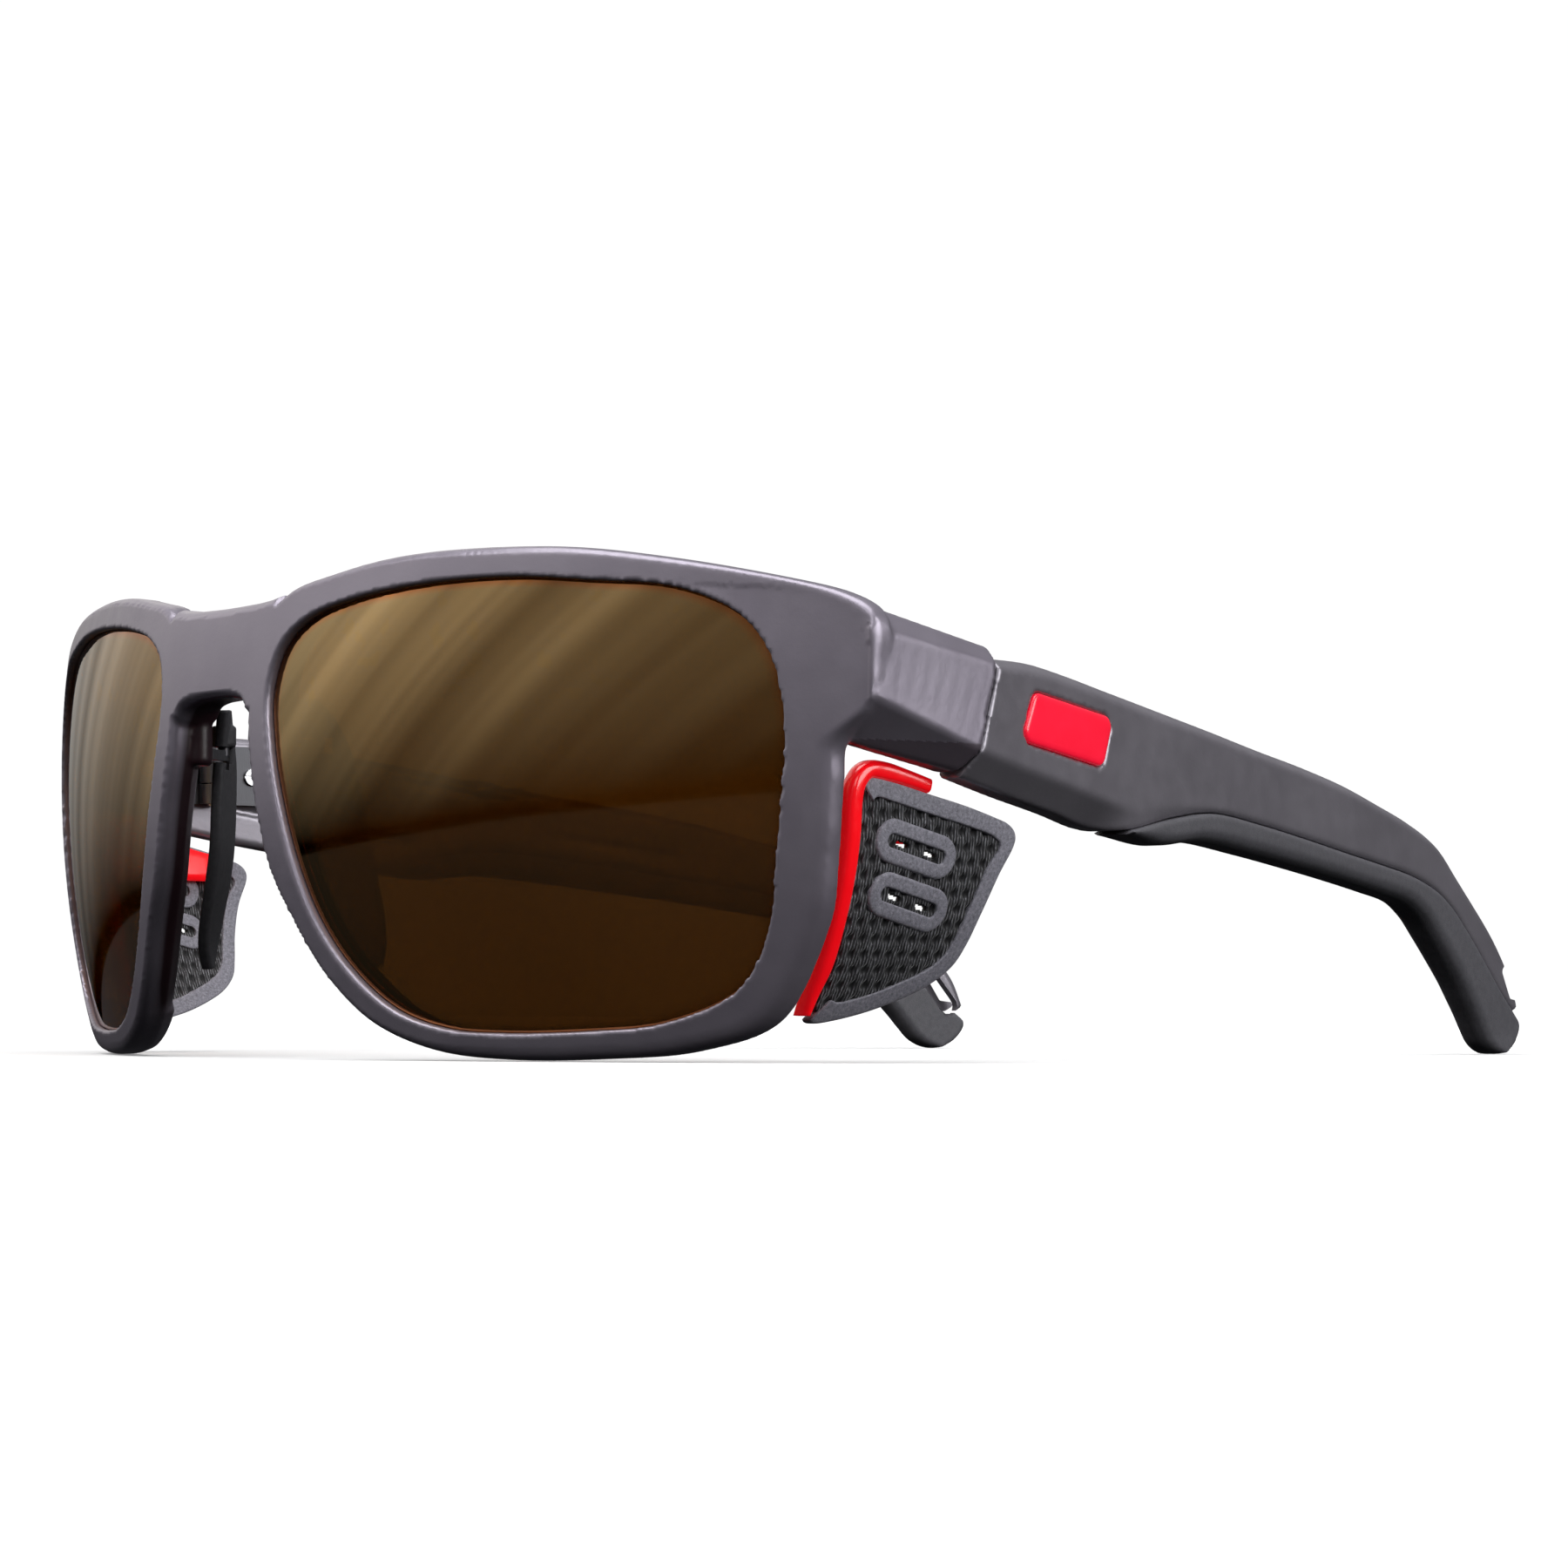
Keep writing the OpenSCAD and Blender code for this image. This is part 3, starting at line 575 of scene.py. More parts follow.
# painted shade mask: depth behind the front face, on the nasal flanks and under the bridge, and on the outer flank
# below z 30
at = front.data.attributes.new("painted_shade_depth", "FLOAT", "POINT")
at.data.foreach_set("value", np.clip((co[:, 1] - face - 0.9) / 1.7, 0, 1).astype(np.float32)
                    * np.clip((25 - np.abs(co[:, 0])) / 8, 0, 1) * np.clip((43.5 - co[:, 2]) / 5, 0, 1) + 0.55 * np.clip((co[:, 1] - face - 1.2) / 2.0, 0, 1).astype(np.float32)
                    * ((np.abs(co[:, 0]) > 60) & (co[:, 2] < 30)))
to_row(front.data)
smooth(front.data)
front.data.materials.clear()
front.data.materials.append(M_FRAME)
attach(front, "front")
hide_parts("frame_front")

# ---------------------------------------------------------------- lenses
LC = np.array([37, 24.5])


def lens_part():
    L = smooth_loop([[*(np.array(a) - 0.05 * unit(np.array(b) - a)), *unit(np.array(b) - np.array(a))] for a, b in RIM], 6)
    rows, ed = [], []

    def ring(k, out, d, e):
        rows.append([on_front(LC + (r[:2] - LC) * k + out * r[2:], d) for r in L])
        ed.append(e)
    ks = [0.06, 0.15, 0.25, 0.36, 0.47, 0.58, 0.68, 0.77, 0.85, 0.91, 0.95, 0.975, 0.99, 1.0]
    for k in ks:
        ring(k, 0, 1.0, k)
    ring(1, 0.05, 1.15, 1)
    ring(1, 0.68, 2.0, 1)
    ring(1, 0.05, 2.85, 1)
    for k in reversed(ks):
        ring(k, 0, 3.0, k)
    V, F = skin(rows)
    E = np.concatenate([np.repeat(ed, len(L)), [0, 0]])
    V[-2] = on_front(LC, 1.0)
    V[-1] = on_front(LC, 3.0)
    return V, F, E


V, F, E = lens_part()
me = mesh_of("lens", [(V, F)])
me.attributes.new("edge", "FLOAT", "POINT").data.foreach_set("value", E.astype(np.float32))
pieces_of(me, "lens", M_LENS, "front", ["lens"])

# ---------------------------------------------------------------- temples and grips, in hinge axes (U, V, Z)
TT = [(-0.55, 38.3), (5.5, 38.3), (12, 37.6), (19, 36.6), (24, 35.9), (31, 34.9), (38, 33.9), (49, 32.3), (58, 31.1),
      (67.4, 29.6), (75.7, 27.8), (82.5, 26.2), (88.5, 24.2), (93.5, 20.9), (98.2, 17.6), (102, 14.8), (105, 12.2),
      (107.6, 9.3), (109.2, 5.8), (109.2, 3.4), (108, 1.5), (106, 0.3)]
TB = [(-4.6, 26.8), (3, 25.4), (11, 24.1), (17.5, 22.9), (22, 22.4), (29, 21.6), (36.8, 22.2), (47.5, 21.3), (57, 20.3),
      (66.5, 19.2), (75, 18.1), (81.5, 17.1), (85.6, 15.4), (88.8, 13.0), (92, 10.4), (94.8, 8.0), (96.6, 6.2),
      (98.4, 4.4), (100, 2.6), (101.4, 1.2), (103.2, 0.3), (104.8, 0.0)]
TP = [(22.6, 22.9), (30.6, 24.4), (38.4, 25.2), (48, 24.4), (57.4, 23.3), (66.8, 22.1), (75.6, 21.0), (82, 20.1),
      (87.6, 18.7), (91.6, 16.9), (95, 14.6), (98.2, 12.2), (101.2, 9.8), (104.4, 7.2), (107.6, 4.9)]


def u_out(v):
    return 6.1 - 0.0075 * max(v, 0) if v < 40 else 5.8 - 0.022 * (v - 40) - 0.00015 * (v - 40) ** 2


def u_in(v):
    return 1.5 if v < 16 else max(0.1, 1.5 - 0.02 * (v - 16))


def temple_part():
    P = [TB[i] if i < 4 else TP[i - 4] for i in range(19)]
    S = []
    for s in smooth_line([[*TT[i], *P[i], 2.6 if i < 4 else max(0.3, 2.0 - (i - 4)), 1.9 if i < 4 else 0.3] for i in range(19)], 8):
        T, B = s[:2], s[2:4]
        h = np.linalg.norm(T - B)
        e = (T - B) / h
        o, n = u_out(s[0]), u_in(s[0])
        a, c = min(s[4], h * 0.3), min(1.0, h * 0.25)
        Q = [(0, o - s[5]), (a, o), (h - c, o), (h, o - 1.2), (h, n + 0.8), (h - 0.8, n), (0.4, n), (0, n + 0.4)]
        g = rounded(Q, [0.35, 0.45, 0.35, 0.35, 0.4, 0.4, 0.3, 0.3], 3)
        S.append([hp(q[1], B[0] + e[0] * q[0], B[1] + e[1] * q[0]) for q in g])
    return skin(S)


def grip_part():
    S = []
    for s in smooth_line([[*(TP[i - 4] if i <= 18 else TT[i]), *TB[i]] for i in range(4, 22)], 8):
        T0, B = s[:2], s[2:4]
        h0 = max(np.linalg.norm(T0 - B), 0.3)
        e = (T0 - B) / h0
        h = max(h0 - 0.06, 0.2)
        o, n, r = u_out(s[0]) + 0.25, u_in(s[0]) - 0.15, min(1.2, h * 0.4)
        Q = [(0, o - 1.3), (r * 0.4, o - 0.4), (r, o), (h - 0.3, o), (h, o - 0.3), (h, n + 0.3), (h - 0.3, n), (r, n), (r * 0.4, n + 0.4), (0, n + 1.2)]
        g = rounded(Q, [0.4, 0.3, 0.3, 0.25, 0.2, 0.2, 0.25, 0.3, 0.3, 0.4], 3)
        S.append([hp(q[1], B[0] + e[0] * q[0], B[1] + e[1] * q[0]) for q in g])
    return skin(S)


def prism(poly, u0, u1):
    return skin([[hp(u, v, z) for v, z in poly] for u in (u0, u1)])


def capsule(a, b, r, n=12):
    """Outline round a segment in (V, Z)."""
    a, b = np.array(a, float), np.array(b, float)
    t = math.atan2(*(b - a)[::-1])
    return [tuple(b + r * np.array([math.cos(t + k), math.sin(t + k)])) for k in np.linspace(-math.pi / 2, math.pi / 2, n)] + \
           [tuple(a + r * np.array([math.cos(t + k), math.sin(t + k)])) for k in np.linspace(math.pi / 2, 3 * math.pi / 2, n)]


def offset_poly(P, d, n=6):
    P = [np.array(p, float) for p in P]
    out = []
    for i, p in enumerate(P):
        a, b = P[i - 1], P[(i + 1) % len(P)]
        t0, t1 = math.atan2(*(p - a)[::-1]), math.atan2(*(b - p)[::-1])
        if t1 < t0:
            t1 += 2 * math.pi
        for k in np.linspace(t0, t1, n):
            out.append(tuple(p + d * np.array([math.sin(k), -math.cos(k)])))
    return out


def hulled(spots):
    """Convex hull of short rods along U, each (u, v, z, radius, length)."""
    import bmesh
    bm = bmesh.new()
    for u, v, z, r, h in spots:
        for t in np.linspace(0, 2 * math.pi, 16, endpoint=False):
            for w_ in (u, u + h):
                bm.verts.new(hp(w_, v + r * math.cos(t), z + r * math.sin(t)))
    res = bmesh.ops.convex_hull(bm, input=bm.verts)
    bmesh.ops.delete(bm, geom=list({g for g in res["geom_interior"] + res["geom_unused"] if isinstance(g, bmesh.types.BMVert)}), context="VERTS")
    bm.verts.index_update()
    V = np.array([v.co for v in bm.verts])
    F = [tuple(v.index for v in f.verts) for f in bm.faces]
    bm.free()
    return V, F


SLOT = hulled([(-2, 100.4, 13.0, 1.4, 4.6), (-2, 106.6, 5.6, 1.4, 4.6)])
EXIT = hulled([(1.4, v, z, 1.2, 1.5) for v, z in ((100.8, 13.0), (106.6, 5.8), (104.5, 17.0), (112.0, 6.0))])
NOTCH = hulled([(u_out(108) - 1.6, v, z, 0.5, 4) for v, z in ((105.4, 9.6), (109.9, 12.4), (107.2, 6.9), (111.6, 6.4))])
BADGE = [(4.6, 31.6), (16.2, 30.1), (17.2, 32.8), (5.8, 34.2)]
RECESS = prism(offset_poly(BADGE, 1.32), 5.5, 8)
# shallow channels along the inner face, either side of the hinge leaf's line
RIBS = [prism(capsule((3, 29.6 - 0.0), (26, 26.2), 0.55), -3, 1.78), prism(capsule((15, 35.3), (40, 31.6), 0.55), -3, 1.35),
        prism(capsule((30, 29.2), (64, 25.2), 0.6), -3, 0.9)]

for name, part, cuts, mat, slot, vox in (
        ("temple", temple_part(), [RECESS] + RIBS, M_TEMPLE, "temple", 0.24),
        ("temple_grip", grip_part(), [], M_GRIP, "grip", 0.22)):
    o = obj_of(mesh_of(name, [part]), name + "_tmp")
    for c in cuts:
        cut(o, [c])
    co = remeshed(o, vox * (1), 4)
    store(o, co)
    for c in (SLOT, EXIT, NOTCH):
        cut(o, [c])
    me = o.data
    me.shade_smooth()
    me.set_sharp_from_angle(angle=math.radians(50))
    bpy.data.objects.remove(o)
    pieces_of(me, name, mat, "SIDE_temple", [name])

# badge: a plain slanted inlay with a rounded edge and a slight dome
rows = []
for off, u in ((1.13, 5.55), (1.16, 5.75), (1.16, 6.0), (1.06, 6.15), (0.86, 6.22), (0.5, 6.24), (0.05, 6.25)):
    rows.append([hp(u - 0.004 * (v - 11), v, z) for v, z in offset_poly(BADGE, off, 10)])
pieces_of(mesh_of("badge", [skin(rows)]), "badge", M_BADGE, "SIDE_temple", ["badge"])

# ---------------------------------------------------------------- nose pads
STRIP = [((6.8, 6.5, 36.0), (9.0, 8.4, 36.3)), ((7.7, 6.8, 33.6), (10.6, 9.8, 33.6)), ((8.4, 7.0, 31.0), (11.5, 10.8, 30.6)),
         ((8.9, 7.1, 26.5), (12.4, 11.4, 26.5)), ((9.6, 7.4, 22.0), (13.3, 11.8, 22.0)), ((11.1, 7.8, 18.0), (14.4, 12.0, 18.2)),
         ((13.0, 8.4, 14.4), (15.6, 12.0, 14.6)), ((14.5, 9.2, 11.5), (16.3, 11.8, 11.6)), ((15.5, 10.4, 9.2), (16.3, 11.4, 9.4))]
rows = []
for s in smooth_line([[*a, *b] for a, b in STRIP], 8):
    a, b = s[:3], s[3:]
    d = unit(b - a)
    n = np.array([-d[1], d[0], 0]) * 0.62
    g = rounded([a + n, b + n, b - n, a - n], [0.5] * 4, 5)
    rows.append(g)
pad = skin(rows)
knob = skin([[(9.3 + r * math.cos(t), 8.3 + r * math.sin(t), z) for t in np.linspace(0, 2 * math.pi, 32, endpoint=False)]
             for z, r in ((32.4, 0.8), (32.4, 1.15), (32.6, 1.3), (34.4, 1.3), (34.6, 1.15), (34.6, 0.8))])
pinhole = skin([[(9.3 + 0.67 * math.cos(t), 8.3 + 0.67 * math.sin(t), z) for t in np.linspace(0, 2 * math.pi, 24, endpoint=False)] for z in (30, 38)])
ca, sa = math.cos(math.radians(-15)), math.sin(math.radians(-15))
box = np.array([(9.3 + x * ca - y * sa, 8.3 + x * sa + y * ca, z) for z in (30.7, 32.35) for x, y in ((-1.6, -5), (1.6, -5), (1.6, 1.4), (-1.6, 1.4))]).reshape(2, 4, 3)
o = obj_of(mesh_of("pad", [pad, knob]), "pad_tmp")
store(o, remeshed(o, 0.16, 4))
cut(o, [pinhole])
cut(o, [skin(box)])
me = o.data
bpy.data.objects.remove(o)
pieces_of(me, "nose_pad", M_PAD, "SIDE_nose_pad", ["nose_pad"])

# ---------------------------------------------------------------- side shields
PANEL = [((30.4, 26.6), (31.2, 24.8)), ((33.5, 26.2), (33.3, 24.4)), ((37.7, 25.3), (37.3, 23.5)),
         ((42.0, 24.4), (41.6, 22.6)), ((45.8, 23.4), (45.0, 21.8)), ((47.6, 22.8), (46.1, 21.3)),
         ((48.5, 21.9), (46.6, 20.9)), ((48.4, 20.6), (46.5, 20.2)), ((47.0, 17.8), (45.3, 18.4)),
         ((45.8, 14.2), (44.1, 14.7)), ((45.0, 11.2), (43.3, 11.8)), ((44.1, 9.1), (42.6, 10.2)),
         ((42.2, 7.4), (41.2, 8.9)), ((39.6, 6.1), (38.9, 7.8)), ((36.0, 4.8), (35.5, 6.5)),
         ((32.2, 3.9), (32.2, 5.7)), ((29.7, 3.7), (31.1, 5.8)), ((28.8, 4.8), (30.4, 6.1)),
         ((28.8, 6.6), (30.3, 7.0)), ((29.2, 9.2), (30.4, 9.2)), ((29.2, 12.5), (30.1, 12.5)),
         ((28.8, 16.5), (29.9, 16.5)), ((28.6, 20.5), (30.0, 20.5)), ((28.6, 24.0), (30.2, 23.4)),
         ((29.1, 25.9), (30.6, 24.2))]


def inset(P, d):
    n = len(P)
    out = []
    for i in range(n):
        t = unit(P[(i + 1) % n] - P[i - 1])
        out.append(P[i] + d * np.array([t[1], -t[0]]))
    return np.array(out)


PS = smooth_loop([[*a, *b] for a, b in PANEL], 8)
PO, PI = PS[:, :2], PS[:, 2:]


def band(out, inn, t, closed):
    """Flat band between two outlines on the panel, rounded at its edges."""
    S = []
    for o, n in zip(out, inn):
        d = n - o
        w = np.linalg.norm(d)
        d = d / w
        g = rounded([(0, t), (w, t), (w, -t), (0, -t)], [0.35, 0.22, 0.2, 0.3], 4)
        S.append([on_panel(o + d * q[0], q[1]) for q in g])
    return skin(S, closed=closed)


# the band runs along the top, back and bottom; the front edge is held by the clip
run = [i % len(PO) for i in range(-6, 16 * 8 + 4)]
trim = band(PO[run], PI[run], 0.68, False)
pieces_of(mesh_of("trim", [trim]), "shield_trim", M_TRIM, "SIDE_shield", ["shield_trim"])

EYES = [(36.3, 20.1), (36.4, 15.1)]
A13 = math.radians(-13.3)


def stadium(c, w, l, n=20):
    c = np.array(c)
    h = (l - w) / 2
    P = [(h + w / 2 * math.cos(t), w / 2 * math.sin(t)) for t in np.linspace(-math.pi / 2, math.pi / 2, n)]
    P = P[:n] + [(x, w / 2) for x in np.linspace(h, -h, 12)[1:-1]] + [(-x, -y) for x, y in P] + [(x, -w / 2) for x in np.linspace(-h, h, 12)[1:-1]]
    R = np.array([[math.cos(A13), -math.sin(A13)], [math.sin(A13), math.cos(A13)]])
    return np.array([c + R @ np.array(p) for p in P])


vents = [band(stadium(e, 4.2, 10.2), stadium(e, 1.3, 7.4), 0.66, True) for e in EYES]
pieces_of(mesh_of("vents", vents), "shield_vents", M_TRIM, "SIDE_shield", ["shield_vents"])


def inside(P, y, z):
    c = np.zeros(y.shape, bool)
    n = len(P)
    for i in range(n):
        (y0, z0), (y1, z1) = P[i - 1], P[i]
        hit = ((z0 > z) != (z1 > z)) & (y < (y1 - y0) * (z - z0) / (z1 - z0 + 1e-12) + y0)
        c ^= hit
    return c


def fabric_mesh():
    st = 0.13
    ys, zs = np.arange(28, 49, st), np.arange(3, 27.2, st)
    Y, Z = np.meshgrid(ys, zs, indexing="ij")
    ok = inside(PO + (PI - PO) * 0.35, Y, Z)
    # loose threads cover the slots but for two short gaps in each
    for ey, ez in EYES:
        for k in (-1.7, 1.9):
            ok &= ~inside(stadium((ey + k * math.cos(A13), ez + k * math.sin(A13)), 0.38, 1.6), Y, Z)
    # cells of the spacer mesh on a staggered lattice
    pa, pb = 1.52, 1.46
    row = np.round(Z / pb)
    yy = Y - (row % 2) * pa / 2
    dy = yy - np.round(yy / pa) * pa
    dz = Z - row * pb
    pit = np.clip(1.25 - np.sqrt((dy / 0.46) ** 2 + (dz / 0.50) ** 2), 0, 1)
    pit = pit * pit * (3 - 2 * pit)
    # upright stitches between the cells
    rib = 0.5 + 0.5 * np.cos(2 * np.pi * Y / 0.38 + 1.3 * np.sin(Z * 4.1))
    top = 0.40 - 0.30 * pit + 0.05 * rib * (1 - pit)
    X = 66.4 + 0.05 * (Y - 28) - 0.0165 * np.maximum(25 - Z, 0) ** 2
    idx = -np.ones(Y.shape, int)
    idx[ok] = np.arange(ok.sum())
    n = ok.sum()
    Vf = np.stack([X + top, Y, Z], -1)[ok]
    Vb = np.stack([X - 0.40 + 0.22 * pit, Y, Z], -1)[ok]
    quad = ok[:-1, :-1] & ok[1:, :-1] & ok[1:, 1:] & ok[:-1, 1:]
    q = np.stack([idx[:-1, :-1], idx[1:, :-1], idx[1:, 1:], idx[:-1, 1:]], -1)[quad]
    Ff = [tuple(f) for f in q.tolist()]
    Fb = [tuple(int(i) + n for i in reversed(f)) for f in q.tolist()]
    edges = {}
    for f in Ff:
        for i in range(4):
            a, b = f[i], f[(i + 1) % 4]
            if (b, a) in edges:
                del edges[(b, a)]
            else:
                edges[(a, b)] = 1
    side = [(b, a, a + n, b + n) for a, b in edges]
    me = mesh_of("fabric", [(np.vstack([Vf, Vb]), Ff + Fb + side)], fix=False)
    me.attributes.new("pit", "FLOAT", "POINT").data.foreach_set("value", np.concatenate([pit[ok], pit[ok]]).astype(np.float32))
    return me, len(Ff) * st * st


me, area = fabric_mesh()
fabs = pieces_of(me, "shield_fabric", M_FABRIC, "SIDE_shield", ["shield_fabric"])

CLIP = [(60.0, 28.0, 4.4, 0.5), (60.9, 28.2, 6.4, 0.75), (62.4, 28.5, 9.2, 0.95), (63.9, 28.6, 13, 1.0), (65.2, 28.6, 17, 1.0),
        (66.0, 28.6, 21, 1.0), (66.3, 28.6, 24.4, 1.0), (66.4, 29.05, 26.2, 1.0), (66.4, 30.3, 27.3, 1.0), (66.4, 32.2, 27.3, 1.0),
        (66.5, 34.8, 26.8, 0.9), (66.6, 37.6, 26.1, 0.85)]
C = smooth_line(CLIP, 8)
rows = []
for i, s in enumerate(C):
    p, q0, q1 = s[:3], C[max(i - 1, 0)], C[min(i + 1, len(C) - 1)]
    t = unit(np.array([0, q1[1] - q0[1], q1[2] - q0[2]]))
    n = np.array([0, t[2], -t[1]])
    r = s[3]
    sq = 0.5 + 0.5 * min(max((i - 64) / 10, 0), 1)          # squarer along the top arm
    g = [p + np.array([1.08, 0, 0]) * np.sign(math.cos(a)) * abs(math.cos(a)) ** (1 - 0.45 * sq) + n * (r - 0.1) * np.sign(math.sin(a)) * abs(math.sin(a)) ** (1 - 0.45 * sq)
         for a in np.linspace(0, 2 * math.pi, 32, endpoint=False)]
    rows.append(g)
cap = [rows[-1][0] * 0 + np.mean(rows[-1], 0) + (np.array(g) - np.mean(rows[-1], 0)) * 0.86 + np.array([0, 0.14, -0.03]) for g in rows[-1]]
bar = skin(rows + [cap])
IB = [(28.3, 20.6), (28.3, 23), (28.4, 25.6), (29, 26.4), (33, 25.9), (37, 25.1), (41, 24.2), (44, 23.6), (45.2, 23), (45.6, 22),
      (45.2, 21), (44, 20.6), (40, 20.6), (34, 20.6), (30, 20.3), (28.8, 20.0)]
IBL = smooth_loop(IB, 4)
ic = np.array([35.5, 23.0])
rows = []
for k, d in ((0.2, -0.9), (0.6, -0.9), (0.97, -0.9), (1, -1.0), (1, -1.6), (0.95, -1.75), (0.6, -1.78), (0.2, -1.78)):
    rows.append([on_panel(ic + (p - ic) * k, d) for p in IBL])
pieces_of(mesh_of("clip", [bar, skin(rows)]), "shield_clip", M_CLIP, "SIDE_shield", ["shield_clip"])

# ---------------------------------------------------------------- CAD nodes that stay
for n, o in frame["nodes"].items():
    if n.endswith(("hinge_front_leaf", "hinge_temple_leaf", "nose_pad_post")):
        o.data.materials.clear()
        o.data.materials.append(M_STEEL)
    elif n.endswith(("_screws", "hinge_screw")):
        o.data.materials.clear()
        o.data.materials.append(M_SCREW)

# ---------------------------------------------------------------- stage
def stage_mesh(name, V, F, mat, vis):
    me = bpy.data.meshes.new(name)
    me.from_pydata(V, [], F)
    me.materials.append(mat)
    o = obj_of(me, name)
    o.visible_camera, o.visible_diffuse, o.visible_glossy = vis
    o.visible_transmission = vis[0]
    return o


m, nt, b = new_mat("floor")
nt.links.new(ramp(nt, noise(nt, coords(nt), 3, 3), [(0.3, (0.62, 0.62, 0.62)), (0.7, (0.64, 0.64, 0.64))]), b.inputs["Base Color"])
b.inputs["Roughness"].default_value = 1.0
b.inputs["Specular IOR Level"].default_value = 0.0
b.inputs["Emission Color"].default_value = (1, 1, 1, 1)
sp = node(nt, "ShaderNodeVectorMath", operation="LENGTH")
nt.links.new(coords(nt), sp.inputs[0])
nt.links.new(maprange(nt, sp.outputs["Value"], 0.10, 0.7, 0.20, 1.0), b.inputs["Emission Strength"])
R = 12.0
stage_mesh("floor", [(-R, -R, -0.00002), (R, -R, -0.00002), (R, R, -0.00002), (-R, R, -0.00002)], [(0, 1, 2, 3)], m, (True, False, False))

w = bpy.data.worlds.new("studio")
w.use_nodes = True
scene.world = w
nt = w.node_tree
nt.nodes.clear()
out = node(nt, "ShaderNodeOutputWorld")
seen = node(nt, "ShaderNodeBackground")
seen.inputs["Color"].default_value = (1, 1, 1, 1)
seen.inputs["Strength"].default_value = 1.02
lit = node(nt, "ShaderNodeBackground")
tc = node(nt, "ShaderNodeTexCoord")
sep = node(nt, "ShaderNodeSeparateXYZ")
nt.links.new(tc.outputs["Generated"], sep.inputs[0])
nt.links.new(ramp(nt, maprange(nt, sep.outputs["Z"], -0.5, 1.0, 0.0, 1.0), [(0.0, (0.02, 0.02, 0.022)), (0.32, (0.05, 0.05, 0.055)), (0.45, (0.12, 0.12, 0.125)), (1.0, (0.45, 0.45, 0.47))]), lit.inputs["Color"])
lit.inputs["Strength"].default_value = 0.7
lp = node(nt, "ShaderNodeLightPath")
mx = node(nt, "ShaderNodeMixShader")
cam_or = math_(nt, "MAXIMUM", lp.outputs["Is Camera Ray"], lp.outputs["Is Transmission Ray"])
nt.links.new(cam_or, mx.inputs["Fac"])
nt.links.new(lit.outputs[0], mx.inputs[1])
nt.links.new(seen.outputs[0], mx.inputs[2])
nt.links.new(mx.outputs[0], out.inputs["Surface"])

CEN = Vector((0.0, -0.02, 0.025))


def softbox(name, az, el, dist, sx, sy, power, spread=180):
    """Area light aimed at the glasses; azimuth 0 is in front (-Y), 90 on the wearer's left (+X)."""
    a, e = math.radians(az), math.radians(el)
    d = Vector((math.sin(a) * math.cos(e), -math.cos(a) * math.cos(e), math.sin(e)))
    L = bpy.data.lights.new(name, "AREA")
    L.shape, L.size, L.size_y, L.energy = "RECTANGLE", sx, sy, power
    L.spread = math.radians(spread)
    o = bpy.data.objects.new(name, L)
    o.location = CEN + d * dist
    o.rotation_mode = "QUATERNION"
    o.rotation_quaternion = (-d).to_track_quat("-Z", "Y")
    scene.collection.objects.link(o)
    return o


softbox("top", 30, 78, 0.9, 1.0, 0.8, 9.5)
softbox("side", 108, 20, 1.0, 0.8, 0.5, 6.5)
softbox("front_fill", 0, 42, 1.0, 2.2, 0.5, 10)

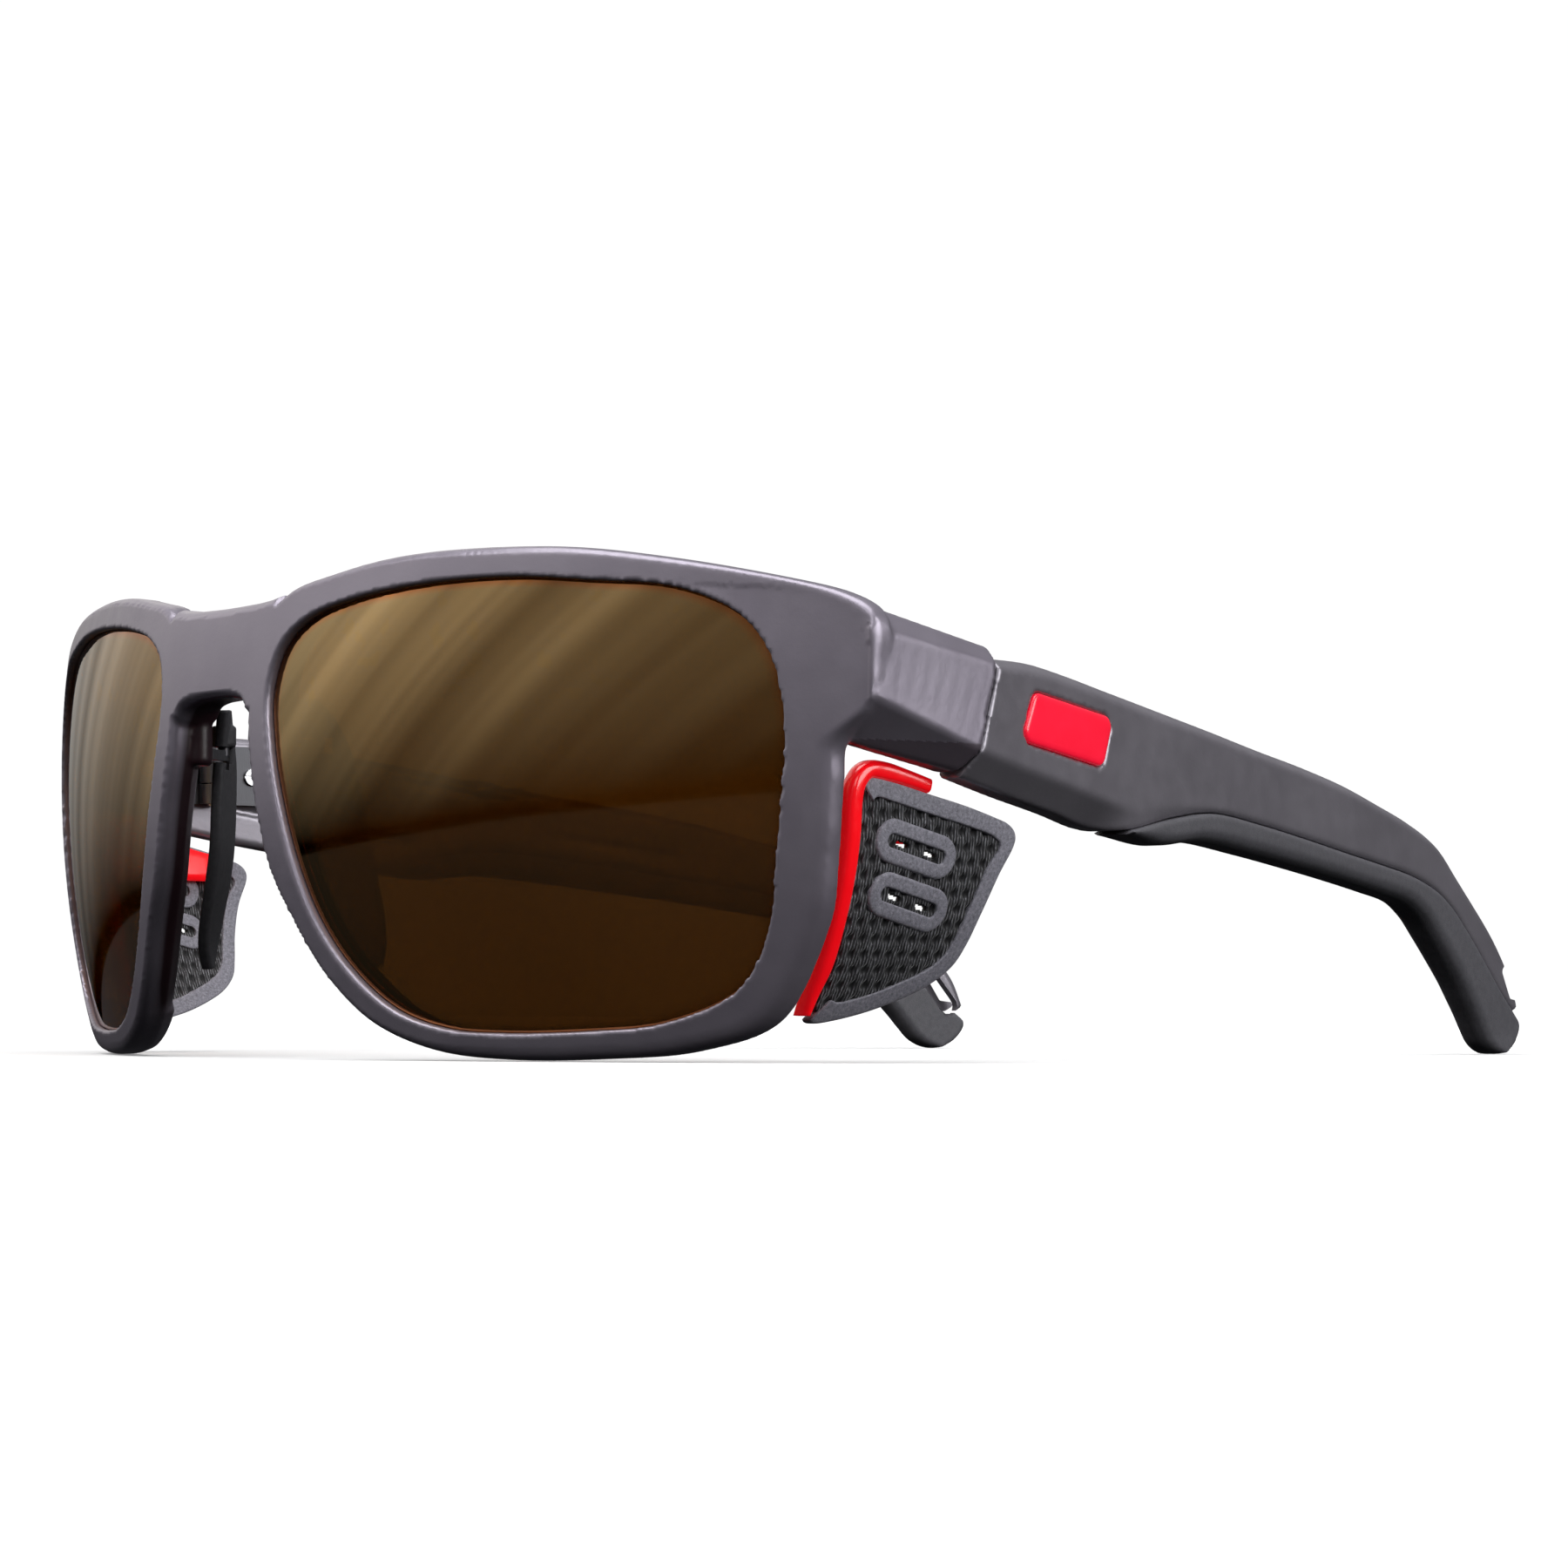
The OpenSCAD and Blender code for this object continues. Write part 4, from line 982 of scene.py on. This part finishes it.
# streaked reflector, front left, which only reflections see
m, nt, b = new_mat("reflector")
nt.nodes.remove(b)
em = node(nt, "ShaderNodeEmission")
tc = node(nt, "ShaderNodeTexCoord")
sepr = node(nt, "ShaderNodeSeparateXYZ")
at = node(nt, "ShaderNodeAttribute", attribute_name="st")
nt.links.new(at.outputs["Vector"], sepr.inputs[0])
s_, t_ = sepr.outputs["X"], sepr.outputs["Y"]
diag = math_(nt, "ADD", math_(nt, "MULTIPLY", s_, 11.9), math_(nt, "MULTIPLY", t_, 3.4))
cmb = node(nt, "ShaderNodeCombineXYZ")
nt.links.new(diag, cmb.inputs[0])
nz = node(nt, "ShaderNodeTexNoise")
nz.inputs["Scale"].default_value = 1.3
nz.inputs["Detail"].default_value = 3
nt.links.new(cmb.outputs[0], nz.inputs["Vector"])
streak = maprange(nt, nz.outputs["Fac"], 0.35, 0.68, 0.45, 1.5)
fade = maprange(nt, t_, 0.02, 0.5, 0.0, 1.0)
fade2 = maprange(nt, s_, 0.02, 0.5, 0.0, 1.0)
amt = math_(nt, "MULTIPLY", math_(nt, "MULTIPLY", streak, fade), fade2)
nt.links.new(amt, em.inputs["Strength"])
em.inputs["Color"].default_value = (1.0, 0.97, 0.92, 1)
out = next(n for n in nt.nodes if n.type == "OUTPUT_MATERIAL")
nt.links.new(em.outputs[0], out.inputs["Surface"])
Vr, Fr, st = [], [], []
NA, NE = 40, 10
for i in range(NA + 1):
    az = math.radians(42 - 165 * i / NA)
    for j in range(NE + 1):
        el = math.radians(-4 + 50 * j / NE)
        Vr.append((CEN.x + 0.8 * math.sin(az) * math.cos(el), CEN.y - 0.8 * math.cos(az) * math.cos(el), CEN.z + 0.8 * math.sin(el)))
        st.append((i / NA, j / NE, 0))
for i in range(NA):
    for j in range(NE):
        a = i * (NE + 1) + j
        Fr.append((a, a + 1, a + NE + 2, a + NE + 1))
ref = stage_mesh("reflector", Vr, Fr, m, (False, False, True))
ref.data.attributes.new("st", "FLOAT_VECTOR", "POINT").data.foreach_set("vector", np.array(st, np.float32).ravel())
ref.visible_shadow = False

# ---------------------------------------------------------------- camera
cam = bpy.data.cameras.new("camera")
cam.sensor_width, cam.lens = 36.0, 87.08
cam.clip_start, cam.clip_end = 0.01, 50
co_ = bpy.data.objects.new("camera", cam)
fw, rt, up = Vector((-0.75243592, 0.65586384, 0.06068622)), Vector((0.65712155, 0.75378394, 0.00102539)), Vector((0.04507178, -0.04064976, 0.99815637))
Rm = Matrix((rt, up, -fw)).transposed()
co_.matrix_world = Matrix.Translation((0.3280545, (-207.8883 - YC) / 1000, 0.0045063)) @ Rm.to_4x4()
scene.collection.objects.link(co_)
scene.camera = co_
scene.view_settings.view_transform = "Standard"
